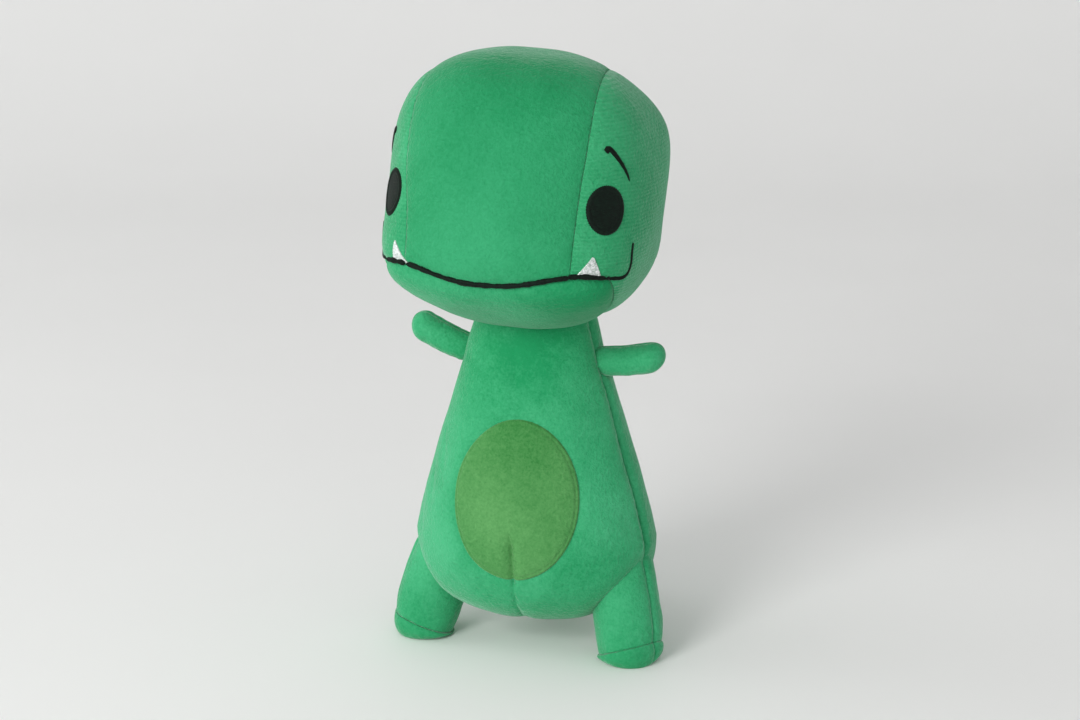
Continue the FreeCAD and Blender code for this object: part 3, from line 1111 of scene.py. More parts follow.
@dataclass
class Head:
    """Front strip, two side panels, jaw, filling and the embroidered face."""

    finishes: Finishes
    wall: float = 0.9
    middle_z: float = 189.5
    seam_x: float = 33.3
    seam_spread: float = 3.0
    seam_shift: float = -1.8
    nape_x: float = 15.0
    mouth_z: float = 161.4
    mouth_rise: float = 5.0
    mouth_level_x: float = 35.0
    mouth_drop: float = 1.6
    corner_x: float = 45.5
    opening_radius: float = 18.0
    opening_depth: float = 15.0
    strip_end: float = 241.0
    eye_half_height: float = 9.2
    form: HeadForm = field(init=False)

    def __post_init__(self) -> None:
        """Read the form's size from the frame and set out the seams."""
        left_low, left_high = node_box("head_side_panel_left")
        right_low, _ = node_box("head_side_panel_right")
        _, front_high = node_box("head_front_panel")
        half = np.array([(left_high[0] - right_low[0]) / 2 + 0.1, 50.5, front_high[2] - self.middle_z + 0.2])
        self.form = HeadForm(np.array([0.3, -10.4, self.middle_z]), half)
        self.form.creases = self.seams()
        self.form.corners = [Bulge(np.array([49.0, 12.0, 213.0]), 1.3, 15.0),
                             Bulge(np.array([-48.0, 14.0, 214.0]), 1.0, 15.0),
                             Bulge(np.array([-43.0, -49.0, 163.0]), 0.9, 13.0),
                             Bulge(np.array([43.0, -49.0, 156.0]), 0.7, 12.0)]

    def mouth_height(self, x: Array) -> Array:
        """Height of the mouth: lowest at the middle, and falling again beyond the face seams."""
        share = np.clip(np.abs(x) / self.mouth_level_x, 0, 1) ** 1.3
        drop = self.mouth_drop * smooth((np.abs(x) - 37) / 10)
        return self.mouth_z + self.mouth_rise * np.sin(share * math.pi / 2) ** 2 - drop

    def mouth_points(self, x: Array, lift: float = 0.0) -> Array:
        """Points on the form along the mouth."""
        z = self.mouth_height(x) + lift
        origins = np.stack([x, self.form.heart(z), z], -1)
        ways = np.broadcast_to(np.array([0.0, -1.0, 0.0]), origins.shape)
        return self.form.reach(origins, ways)

    def seam_half(self, angle: Array) -> Array:
        """Half width of the front strip at an angle over the head."""
        widen = self.seam_spread * smooth((angle + 25) / 60)
        narrow = (self.seam_x + self.seam_spread - self.nape_x) * smooth((angle - 40) / 200)
        return self.seam_x + widen - narrow

    def strip_points(self, share: Array, angle: Array) -> Array:
        """Points of the front strip.

        Args:
            share: -1 at the right seam and 1 at the left one.
            angle: Degrees over the head, 0 forwards, 90 up and 180 backwards.

        Returns:
            Points on the form.
        """
        shift = self.seam_shift * smooth((angle + 20) / 45) * (1 - smooth((angle - 150) / 80))
        x = share * self.seam_half(angle) + shift
        turn = np.radians(angle)
        origins = np.stack([x, np.full_like(x, self.middle_y()), np.full_like(x, self.form.middle[2])], -1)
        ways = np.stack([np.zeros_like(x), -np.cos(turn), np.sin(turn)], -1)
        return self.form.reach(origins, ways)

    def middle_y(self) -> float:
        """Y of the form's middle."""
        return float(self.form.middle[1])

    def mouth_angle(self, x: Array) -> Array:
        """Angle over the head at which the strip starts, at the mouth."""
        points = self.mouth_points(x)
        return np.degrees(np.arctan2(points[..., 2] - self.form.middle[2], self.middle_y() - points[..., 1]))

    def face_seam(self, side: Side, count: int = 260) -> Array:
        """Seam between the front strip and a side panel, from the mouth to the nape."""
        start = float(self.mouth_angle(np.array([side.value * self.seam_x]))[0])
        angle = np.linspace(start, self.strip_end, count)
        return self.strip_points(np.full(count, float(side.value)), angle)

    def opening(self, bearing: Array) -> Array:
        """Edge of the neck opening, by bearing round Z."""
        target = np.stack([self.opening_radius * np.cos(bearing), self.opening_depth * np.sin(bearing),
                           np.full_like(bearing, 136.0)], -1)
        return self.form.from_middle(unit(target - self.form.middle))

    def jaw_seam(self, side: Side, count: int = 80) -> Array:
        """Rear seam of the jaw, from the corner of the mouth to the neck opening."""
        corner = self.mouth_points(np.array([side.value * self.corner_x]))
        neck = self.opening(np.array([0.0 if side is Side.LEFT else math.pi]))
        share = np.linspace(0, 1, count)[:, None]
        ways = slerp(unit(corner - self.form.middle), unit(neck - self.form.middle), share)
        ways = unit(ways + np.array([0, 0.10, 0]) * np.sin(share * math.pi))
        return self.form.from_middle(ways)

    def seams(self) -> list[Crease]:
        """Creases of the head: face seams, mouth, jaw seams and the neck opening."""
        creases = []
        for side in Side:
            creases.append(Crease(self.face_seam(side), 0.85, 0.75, pucker=0.08, pitch=3.6))
            creases.append(Crease(self.jaw_seam(side), 1.5, 0.75, pucker=0.10, pitch=3.2))
        x = np.linspace(-self.corner_x, self.corner_x, 240)
        creases.append(Crease(self.mouth_points(x, -0.8), 2.0, 1.2, pucker=0.12, pitch=4.4))
        bearing = np.linspace(0, 2 * math.pi, 120)
        creases.append(Crease(self.opening(bearing), 1.8, 1.6, pucker=0.2, pitch=5))
        return creases

    def front_strip(self) -> Sheet:
        """Grid of the strip: across it by share, along it by angle from the mouth."""
        share = np.linspace(-1, 1, 121)[:, None]
        start = self.mouth_angle(share[:, 0] * self.seam_x)[:, None]
        run = np.linspace(0, 1, 320)[None, :]
        angle = start + (self.strip_end - start) * run
        points = self.strip_points(np.broadcast_to(share, angle.shape), angle)
        return Sheet(self.form.dressed(points))

    def side_rim(self, side: Side) -> Array:
        """Closed edge of a side panel: face seam, neck opening, jaw seam and mouth."""
        seam = self.face_seam(side, 220)
        nape = seam[-1]
        nape_bearing = math.atan2(nape[1], abs(nape[0]))
        bearing = np.linspace(nape_bearing, 0, 30)[1:-1]
        if side is Side.RIGHT:
            bearing = math.pi - bearing
        neck = self.opening(bearing)
        jaw = self.jaw_seam(side, 70)[::-1]
        x = np.linspace(self.corner_x, self.seam_x, 30)[1:-1] * side.value
        return np.concatenate([seam, neck, jaw, self.mouth_points(x)])

    def side_panel(self, side: Side) -> Sheet:
        """Grid of a side panel: rays from its pole to its edge, laid on the form."""
        rim = unit(self.side_rim(side) - self.form.middle)
        pole = unit(np.array([side.value * 1.0, 0.12, 0.04]))
        share = (np.linspace(0, 1, 96)[1:] ** 0.85)[:, None, None]
        ways = slerp(np.broadcast_to(pole, (1, len(rim), 3)), rim[None], share)
        points = self.form.dressed(self.form.from_middle(ways))
        centre = self.form.dressed(self.form.from_middle(pole[None]))[0]
        return Sheet(points, closed=True, pole=centre)

    def jaw(self) -> Sheet:
        """Grid of the jaw: from the mouth down and under to the front of the neck opening."""
        share = np.linspace(-1, 1, 190)
        run = np.linspace(0, 1, 80)[:, None, None]
        top = unit(self.mouth_points(share * self.corner_x) - self.form.middle)
        low = unit(self.opening(-math.pi / 2 + share * math.pi / 2) - self.form.middle)
        ways = slerp(top[None], low[None], run)
        ends = np.exp(-((1 - np.abs(share)) / 0.12) ** 2)[None, :, None]
        ways = unit(ways + np.array([0, 0.10, 0]) * np.sin(run * math.pi) * ends)
        return Sheet(self.form.dressed(self.form.from_middle(ways)))

    def corner_points(self, side: Side, across: Array, z: Array) -> tuple[Array, Array]:
        """Points of the finished side of the face, seen from its corner at 45 degrees.

        Args:
            side: Which side of the face.
            across: Distance towards the back on a plane that faces the corner.
            z: Height.

        Returns:
            Points of the cover and outward directions.
        """
        half = math.sqrt(0.5)
        east = side.value * (across * half + 18) + 0 * z
        origins = np.stack([east, across * half - 18 + 0 * z, z + 0 * across], -1)
        ways = np.broadcast_to(np.array([side.value * half, -half, 0.0]), origins.shape)
        bare = self.form.reach(origins, ways)
        return self.form.dressed(bare), self.form.normals(bare)

    def eye(self, side: Side) -> list[Sheet]:
        """Oval pad of satin stitch, with a raised border ring."""
        eye_across, eye_z = LOOKS[side].eye
        share = np.linspace(0, 1, 48)[1:, None]
        turn = np.linspace(0, 2 * math.pi, 241)[None, :-1]
        ragged = 1 + 0.016 * np.sin(turn * 60 + 2 * np.sin(turn * 3)) * (share > 0.96)
        rise = self.eye_half_height * share * np.sin(turn) * ragged
        across = eye_across + LOOKS[side].eye_half_width * share * np.cos(turn) * ragged + 0.06 * rise
        z = eye_z + rise
        points, out = self.corner_points(side, across, z)
        ring = np.exp(-((share - 0.87) / 0.075) ** 2)
        thread = np.sin(2 * math.pi * (z + across * 0.18) / 0.6) * (share < 0.78)
        spoke = np.sin(turn * 78 + share * 7) * ring
        moat = np.exp(-((share - 0.75) / 0.03) ** 2)
        lift = 0.62 + 0.34 * ring + 0.06 * thread + 0.07 * spoke - 0.12 * moat
        lift = lift * np.clip((1 - share) / 0.07, 0, 1) ** 0.45 - 0.25
        middle, outward = self.corner_points(side, np.array([eye_across]), np.array([eye_z]))
        return [Sheet(points + out * lift[..., None], closed=True, pole=(middle + outward * 0.37)[0])]

    def tooth(self, side: Side) -> list[Sheet]:
        """Triangle of satin stitch: rows from the base to the tip, threads running across."""
        rise = np.linspace(0, 1, 48)[:, None]
        share = np.linspace(-1, 1, 48)[None, :]
        inner, outer, tip = LOOKS[side].tooth
        middle = (inner + outer) / 2 + (tip - (inner + outer) / 2) * rise
        half = (outer - inner) / 2 * (1 - rise) ** 0.95 + 0.15
        across = middle + half * share
        z = 165.6 + 8.5 * rise + 0 * share
        points, out = self.corner_points(side, across, z)
        edge = np.clip((1 - np.abs(share)) / 0.16, 0, 1) ** 0.5
        edge = edge * np.clip(rise / 0.03, 0, 1) * np.clip((1 - rise) / 0.05, 0, 1) ** 0.5
        thread = np.sin(2 * math.pi * (z * 0.8 + across * 0.5) / 0.55)
        lift = (0.75 + 0.09 * thread) * edge - 0.3
        return [Sheet(points + out * lift[..., None])]

    def line_on_corner(self, side: Side, path: Array, half: Array, stroke: Stroke, seed: int) -> list[Sheet]:
        """Satin line along a path on the corner plane.

        Args:
            side: Which side of the face.
            path: Pairs of across and height.
            half: Half width along the path.
            stroke: How the line is stitched.
            seed: Seed of its unevenness.

        Returns:
            The grid, in a list.
        """
        points, out = self.corner_points(side, path[:, 0], path[:, 1])
        along = unit(np.gradient(points, axis=0))
        sideways = unit(np.cross(out, along))
        return [stroke.sheet(points, sideways, out, half, seed)]

    def brow(self, side: Side) -> list[Sheet]:
        """Stroke that is thick and hooked where it starts and runs out to a point."""
        count = 180
        path = through(BROW_PATH, count)
        path = path + np.array([LOOKS[side].brow_back, 0.0])
        run = np.linspace(0, 1, count)
        half = (1.12 * (1 - run) ** 0.7 + 0.2) * round_ends(count, 0.06)
        return self.line_on_corner(side, path, half, Stroke(height=0.9, slant=0.9), 31)

    def smile(self, side: Side) -> list[Sheet]:
        """Thin line that runs on from the mouth and turns up."""
        count = 220
        path = through(SMILE_PATH, count)
        run = np.linspace(0, 1, count)
        half = (0.92 - 0.28 * run) * round_ends(count, 0.04)
        return self.line_on_corner(side, path, half, Stroke(height=0.8, slant=0.6), 37)

    def mouth(self) -> list[Sheet]:
        """Thick satin line along the mouth, in three runs that meet at the face seams."""
        sheets = []
        ends = ((2.4 - self.corner_x, -self.seam_x + 0.3, 0.1), (-self.seam_x + 0.9, self.seam_x - 0.3, 0.0),
                (self.seam_x - 0.9, self.corner_x - 1, 0.45))
        for seed, (start, end, lift) in enumerate(ends):
            count = 600 if end - start > 30 else 130
            x = np.linspace(start, end, count)
            bare = self.mouth_points(x, lift)
            out = self.form.normals(bare)
            points = self.form.dressed(bare) + out * (0.7 - 0.5 * smooth((-x - 38) / 5))[:, None]
            along = unit(np.gradient(points, axis=0))
            sideways = unit(np.cross(out, along))
            width = 0.98 - 0.18 * smooth((np.abs(x) - 38) / 8)
            half = width * round_ends(count, 1.4 / abs(end - start))
            half = half * (1 + 0.16 * lumps(points, 4.5, 40 + seed))
            sheets.append(Stroke(height=1.1, wobble=0.09).sheet(points, sideways, out, half, 50 + seed))
        return sheets

    def filling(self) -> Sheet:
        """The head's filling: the form drawn in and made lumpy."""
        polar = np.linspace(0, math.pi, 62)[1:-1, None]
        turn = np.linspace(0, 2 * math.pi, 97)[None, :-1]
        ways = np.stack([np.sin(polar) * np.cos(turn), np.sin(polar) * np.sin(turn),
                         np.cos(polar) + 0 * turn], -1)
        points = self.form.from_middle(ways, grow=-5.0)
        points = points + ways * lumps(points, 16, 61)[..., None] * 0.9
        top = np.array([0, self.middle_y(), self.form.middle[2] + self.form.half[2] - 5.5])
        low = np.array([0, self.middle_y(), self.form.middle[2] - self.form.half[2] + 5.5])
        return Sheet(points, closed=True, pole=top, end_pole=low)

    def add(self, piece: Piece, sheets: list[Sheet], finish: bpy.types.Material) -> None:
        """Make one piece of the head, tilted with it."""
        tilted = [self.form.tilted(sheet) for sheet in sheets]
        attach(make_object(piece, tilted, self.form.middle, finish), "head")

    def build(self) -> None:
        """Make every piece of the head."""
        green, ribbed = self.finishes.smooth, self.finishes.ribbed
        strip = Piece("head_front_panel", "head", ("head_front_panel",), "pile_green", 0.9, self.wall)
        self.add(strip, [self.front_strip()], green)
        jaw = Piece("jaw_panel", "head", ("jaw_panel",), "pile_green", 0.9, self.wall)
        self.add(jaw, [self.jaw()], self.finishes.jaw)
        for side in Side:
            name = "head_side_panel_" + side.word
            panel = Piece(name, "head", (name,), "pile_green", 0.9, self.wall)
            self.add(panel, [self.side_panel(side)], ribbed)
            self.build_side_details(side)
        mouth = Piece("mouth_line", "head", ("mouth_line",), "thread_black")
        self.add(mouth, self.mouth(), self.finishes.black)
        filling = Piece("head_stuffing", "head", ("head_stuffing",), "filling", 0.9)
        self.add(filling, [self.filling()], self.finishes.filling)

    def build_side_details(self, side: Side) -> None:
        """Make the eye, brow, tooth and smile of one side."""
        black, white = self.finishes.black, self.finishes.white
        details = (("eye", self.eye, black, "thread_black"),
                   ("brow", self.brow, black, "thread_black"),
                   ("tooth", self.tooth, white, "thread_white"),
                   ("smile", self.smile, black, "thread_black"))
        for word, shape, finish, slot in details:
            name = word + "_" + side.word
            self.add(Piece(name, "head", (name,), slot), shape(side), finish)


# ---------------------------------------------------------------- arms


@dataclass
class Arm:
    """Front and back halves of one arm and its filling."""

    side: Side
    shoulder: Array
    finishes: Finishes
    radius: float = 6.1
    inner_run: float = -0.28
    wall: float = 0.7
    form: LimbForm = field(init=False)

    def __post_init__(self) -> None:
        """Read the tip from the arm's box and lay out the limb."""
        low, high = node_box("arm_" + self.side.word + "_stuffing")
        inset = 5.0
        tip_x = high[0] - inset if self.side is Side.LEFT else low[0] + inset
        tip = np.array([tip_x, 0.0, high[2] - inset])
        bow = np.array([0.0, 0.0, -0.7])
        self.form = LimbForm(self.shoulder, tip, self.radius - 0.2, self.radius + 0.15, bow,
                             np.array([0.0, 0.0, 1.0]))

    def half(self, front: bool, grow: float = 0.0) -> Sheet:
        """Grid of one half: half a turn round the limb, with a quarter circle over the tip.

        The seams run along the top and the bottom and draw the cloth in.
        """
        turn = np.linspace(-math.pi / 2, math.pi / 2, 44)[None, :]
        if self.front_is_far(front):
            turn = turn + math.pi
        length = float(np.linalg.norm(self.form.tip - self.form.root))
        body = np.linspace(self.inner_run, 1, 60)[:, None]
        cap = np.linspace(0, math.pi / 2, 26)[1:, None]
        radius = self.form.radius(np.array(1.0)) + grow
        run = np.concatenate([body, 1 + np.sin(cap) * radius / length * 1.04])
        narrow = np.concatenate([np.ones_like(body), np.cos(cap) * 0.999 + 0.001])
        bare = self.form.at(turn + 0 * run, run + 0 * turn)
        axis = self.form.axis(run + 0 * turn)
        fold = 1 - 0.055 * np.exp(-(np.cos(turn) / 0.16) ** 2) - 0.03 * np.exp(-np.abs(np.cos(turn)) / 0.06)
        bumps = 1 + 0.018 * lumps(bare, 9, 70 + self.side.value) + 0.012 * lumps(bare, 4, 72)
        pinch = 1 - 0.05 * np.exp(-((run - 0.12) / 0.07) ** 2)
        scale = narrow * fold * bumps * pinch + grow / self.radius * narrow
        return Sheet(axis + (bare - axis) * scale[..., None])

    def front_is_far(self, front: bool) -> bool:
        """True where the wanted half is the one on the far side of the limb's own frame."""
        sideways, _ = self.form.frame()
        return bool((sideways[1] > 0) == front)

    def filling(self) -> Sheet:
        """Lumpy core of the arm."""
        turn = np.linspace(0, 2 * math.pi, 29)[None, :-1]
        run = np.linspace(0.34, 1.05, 30)[:, None]
        bare = self.form.at(turn + 0 * run, run + 0 * turn)
        axis = self.form.axis(run + 0 * turn)
        ends = np.sqrt(np.clip(1 - (2 * (run - 0.695) / 0.75) ** 8, 0.01, 1))
        scale = 0.56 * ends * (1 + 0.06 * lumps(bare, 6, 75))
        points = axis + (bare - axis) * scale[..., None]
        return Sheet(points, closed=True, pole=axis[0, 0], end_pole=axis[-1, 0])

    def build(self) -> None:
        """Make the arm's pieces."""
        body = "arm_" + self.side.word
        heart = self.form.axis(np.array(0.5))
        out = unit(self.form.tip - self.form.root)
        start = (self.shoulder - out * 1.0) * MM
        end = (self.shoulder + out * 6.0) * MM
        for word, front in (("front", True), ("back", False)):
            name = body + "_" + word
            piece = Piece(name, body, (name,), "pile_green", 0.7, self.wall)
            half = make_object(piece, [self.half(front)], heart, self.finishes.pile)
            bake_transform(half)
        name = body + "_stuffing"
        core = Piece(name, body, (name,), "filling", 0.6)
        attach(make_object(core, [self.filling()], heart, self.finishes.filling), body)


# ---------------------------------------------------------------- legs


@dataclass
class Leg:
    """Tube, sole and filling of one leg."""

    side: Side
    hip: Array
    finishes: Finishes
    hip_radius: float = 13.3
    ankle_radius: float = 13.2
    sole_rise: float = 4.6
    sole_lean: float = 2.6
    flat_radius: float = 9.2
    wall: float = 0.9
    form: LimbForm = field(init=False)

    def __post_init__(self) -> None:
        """Lay the limb from behind and inside the hip to the middle of the sole's box."""
        low, high = node_box("leg_" + self.side.word + "_sole")
        foot = np.array([(low[0] + high[0]) / 2, (low[1] + high[1]) / 2, 0.0])
        bow = np.array([self.side.value * 1.8, -0.6, 0.0])
        outward = np.array([self.side.value * 1.0, -0.5, 0.0])
        root = self.hip + np.array([self.side.value * -2.5, 5.0, 0.0])
        self.form = LimbForm(root, foot, self.hip_radius, self.ankle_radius, bow, outward)

    def tube_point(self, turn: Array, run: Array, grow: Array | float = 0.0) -> Array:
        """Point of the tube: sections lean with the limb at the top and less so at the foot."""
        bare = self.form.at(turn, run)
        axis = self.form.axis(run)
        out = bare - axis
        lean = smooth((run - 0.3) / 0.7)[..., None]
        level = out * np.array([1.0, 1.0, 0.35])
        level = level / np.linalg.norm(level, axis=-1, keepdims=True) * np.linalg.norm(out, axis=-1,
                                                                                      keepdims=True)
        out = out * (1 - lean) + level * lean
        size = 1 + 0.016 * lumps(bare, 22, 80 + self.side.value) + 0.007 * lumps(bare, 7, 83)
        swell = 1 + 0.05 * np.sin(np.clip(run, 0, 1) * math.pi)
        seam = 0.09 * np.exp(-np.abs(np.sin((turn - math.pi / 2) / 2)) / 0.03)
        seam = seam + 0.03 * np.exp(-(np.sin((turn - math.pi / 2) / 2) / 0.14) ** 2)
        return axis + out * (size * swell - seam + np.asarray(grow) / self.hip_radius)[..., None]

    def seam_run(self, turn: Array) -> Array:
        """Share of the leg's length where the sole is sewn on: higher on the outside."""
        return 1 - (self.sole_rise + self.sole_lean * np.sin(turn)) / self.hip[2]

    def cover(self) -> Sheet:
        """Grid of the tube: a dome round the hip, then the tube drawn in at the sole's seam."""
        turn = np.linspace(0, 2 * math.pi, 141)[None, :-1]
        length = float(np.linalg.norm(self.form.tip - self.form.root))
        cap = np.linspace(math.pi / 2, 0, 26)[1:-1, None]
        dome = self.form.at(turn + 0 * cap, -np.sin(cap) * self.hip_radius / length + 0 * turn)
        dome_axis = self.form.axis(-np.sin(cap) * self.hip_radius / length + 0 * turn)
        dome = dome_axis + (dome - dome_axis) * np.cos(cap)[..., None]
        last = self.seam_run(turn)
        run = np.linspace(0, 1, 90)[:, None] ** 0.85 * last
        left = (last - run) * self.hip[2]
        pull = -0.55 * np.exp(-left / 0.9) - 0.35 * np.exp(-(left / 4.0) ** 2)
        tube = self.tube_point(turn + 0 * run, run, pull)
        top = self.form.axis(np.array(-self.hip_radius / length))
        return Sheet(np.concatenate([dome, tube]), closed=True, pole=top)

    def sole(self) -> Sheet:
        """Grid of the sole: a flat disc on the floor whose edge rolls up to the seam."""
        turn = np.linspace(0, 2 * math.pi, 141)[None, :-1]
        rim = self.tube_point(turn, self.seam_run(turn), -0.7 + 0 * turn)
        foot = self.form.axis(np.array(1.0))
        way = unit((rim - foot) * np.array([1.0, 1.0, 0.0]))
        flat = foot + way * self.flat_radius
        roll = np.linspace(0, math.pi / 2, 26)[:, None, None]
        edge = flat + (rim - flat) * np.stack([np.sin(roll[..., 0]), np.sin(roll[..., 0]),
                                               1 - np.cos(roll[..., 0])], -1)
        puff = 1.9 * np.sin(roll) ** 2 * np.cos(roll) ** 0.5
        edge = edge + way * puff
        disc_share = np.linspace(0.08, 1, 12)[:, None, None][:-1]
        disc = foot + (flat - foot) * disc_share
        points = np.concatenate([disc, edge])
        points[..., 2] = np.maximum(points[..., 2], 0.0) + 0.02
        return Sheet(points, closed=True, pole=foot + np.array([0, 0, 0.02]))

    def filling(self) -> Sheet:
        """Lumpy core of the leg."""
        turn = np.linspace(0, 2 * math.pi, 49)[None, :-1]
        run = np.linspace(0.0, 0.9, 36)[:, None]
        bare = self.form.at(turn + 0 * run, run + 0 * turn)
        axis = self.form.axis(run + 0 * turn)
        ends = np.sqrt(np.clip(1 - (2 * (run - 0.45) / 0.93) ** 6, 0.02, 1))
        scale = 0.78 * ends * (1 + 0.05 * lumps(bare, 10, 85))
        points = axis + (bare - axis) * scale[..., None]
        points[..., 2] = np.maximum(points[..., 2], 3.0)
        low = np.array([axis[-1, 0, 0], axis[-1, 0, 1], 3.0])
        return Sheet(points, closed=True, pole=axis[0, 0], end_pole=low)

    def build(self) -> None:
        """Make the leg's pieces."""
        body = "leg_" + self.side.word
        heart = self.form.axis(np.array(0.6))
        down = unit(self.form.tip - self.form.root)
        start = (self.hip - down * 6.0) * MM
        end = (self.hip + down * 14.0) * MM
        cover = Piece(body + "_cover", body, (body + "_cover",), "pile_green", 0.8, self.wall)
        tube = make_object(cover, [self.cover()], heart, self.finishes.pile)
        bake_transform(tube)
        sole = Piece(body + "_sole", body, (body + "_sole",), "pile_green", 0.8, self.wall)
        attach(make_object(sole, [self.sole()], heart, self.finishes.pile), body)
        core = Piece(body + "_stuffing", body, (body + "_stuffing",), "filling", 0.8)
        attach(make_object(core, [self.filling()], heart, self.finishes.filling), body)


# ---------------------------------------------------------------- tail


@dataclass
class Tail:
    """Two halves and the filling of the tail."""

    root: Array
    finishes: Finishes
    root_radius: float = 15.6
    tip_radius: float = 6.2
    wall: float = 0.9
    form: LimbForm = field(init=False)

    def __post_init__(self) -> None:
        """Lay the limb from the joint to the tip that rests on the floor."""
        _, high = node_box("tail_left_panel")
        tip = np.array([0.0, high[1] - 6.6, 6.4])
        bow = np.array([0.0, -0.6, -0.8])
        self.form = LimbForm(self.root, tip, self.root_radius, self.tip_radius, bow,
                             np.array([0.0, 0.0, 1.0]))

    def half(self, side: Side) -> Sheet:
        """Grid of one half: half a turn, with a quarter circle over the tip."""
        sideways, _ = self.form.frame()
        turn = np.linspace(-math.pi / 2, math.pi / 2, 60)[None, :]
        if (sideways[0] > 0) != (side is Side.LEFT):
            turn = turn + math.pi
        length = float(np.linalg.norm(self.form.tip - self.form.root))
        body = np.linspace(-0.1, 1, 80)[:, None]
        cap = np.linspace(0, math.pi / 2, 30)[1:, None]
        run = np.concatenate([body, 1 + np.sin(cap) * self.tip_radius / length])
        narrow = np.concatenate([np.ones_like(body), np.cos(cap) * 0.999 + 0.001])
        bare = self.form.at(turn + 0 * run, run + 0 * turn)
        axis = self.form.axis(run + 0 * turn)
        fold = 1 - 0.05 * np.exp(-(np.cos(turn) / 0.15) ** 2) - 0.04 * np.exp(-np.abs(np.cos(turn)) / 0.05)
        bumps = 1 + 0.02 * lumps(bare, 18, 90) + 0.008 * lumps(bare, 6, 91)
        points = axis + (bare - axis) * (narrow * fold * bumps)[..., None]
        points[..., 2] = np.maximum(points[..., 2], 0.02)
        return Sheet(points)

    def filling(self) -> Sheet:
        """Lumpy core of the tail."""
        turn = np.linspace(0, 2 * math.pi, 49)[None, :-1]
        run = np.linspace(0.0, 0.98, 40)[:, None]
        bare = self.form.at(turn + 0 * run, run + 0 * turn)
        axis = self.form.axis(run + 0 * turn)
        ends = np.sqrt(np.clip(1 - (2 * (run - 0.49) / 1.0) ** 6, 0.02, 1))
        points = axis + (bare - axis) * (0.76 * ends * (1 + 0.05 * lumps(bare, 9, 95)))[..., None]
        return Sheet(points, closed=True, pole=axis[0, 0], end_pole=axis[-1, 0])

    def build(self) -> None:
        """Make the tail's pieces."""
        heart = self.form.axis(np.array(0.5))
        back = unit(self.form.tip - self.form.root)
        start = (self.root - back * 2.0) * MM
        end = (self.root + back * 18.0) * MM
        for side in Side:
            name = "tail_" + side.word + "_panel"
            piece = Piece(name, "tail", (name,), "pile_green", 0.8, self.wall)
            half = make_object(piece, [self.half(side)], heart, self.finishes.pile)
            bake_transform(half)
        core = Piece("tail_stuffing", "tail", ("tail_stuffing",), "filling", 0.8)
        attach(make_object(core, [self.filling()], heart, self.finishes.filling), "tail")


# ---------------------------------------------------------------- the torso


@dataclass(frozen=True)
class Pull:
    """A short straight fold in the torso's cloth.

    Attributes:
        start: Bearing round the torso and run down it where the fold starts.
        end: The same where it ends.
        depth: Depth in its middle.
        width: Distance over which it fades.
    """

    start: tuple[float, float]
    end: tuple[float, float]
    depth: float
    width: float


PULLS = (
    # Slanting ones on the toy's right flank, above the leg.
    Pull((-2.86, 0.40), (-2.60, 0.56), 1.2, 2.0),
    Pull((-2.74, 0.33), (-2.52, 0.46), 0.9, 1.8),
    Pull((-2.95, 0.50), (-2.72, 0.64), 1.0, 2.0),
    # The tuck from the chin down to the patch.
    Pull((-1.66, 0.06), (-1.58, 0.31), 0.5, 0.9),
    # The toy's left flank.
    Pull((-0.42, 0.50), (-0.16, 0.60), 0.6, 2.0),
    Pull((-0.62, 0.57), (-0.22, 0.66), 0.55, 2.2),
    # Under the chin.
    Pull((-1.72, 0.09), (-1.62, 0.17), 0.8, 1.8),
    Pull((-1.25, 0.10), (-0.85, 0.14), 0.7, 2.4),
    Pull((-2.30, 0.11), (-1.95, 0.13), 0.5, 2.4),
    # Beside the dart.
    Pull((-1.80, 0.66), (-2.05, 0.74), 0.5, 1.8),
    Pull((-1.42, 0.64), (-1.25, 0.72), 0.6, 1.8),
    # The back, beside the tail.
    Pull((1.2, 0.50), (0.7, 0.62), 0.6, 2.2),
    Pull((2.0, 0.48), (2.5, 0.60), 0.6, 2.2),
)


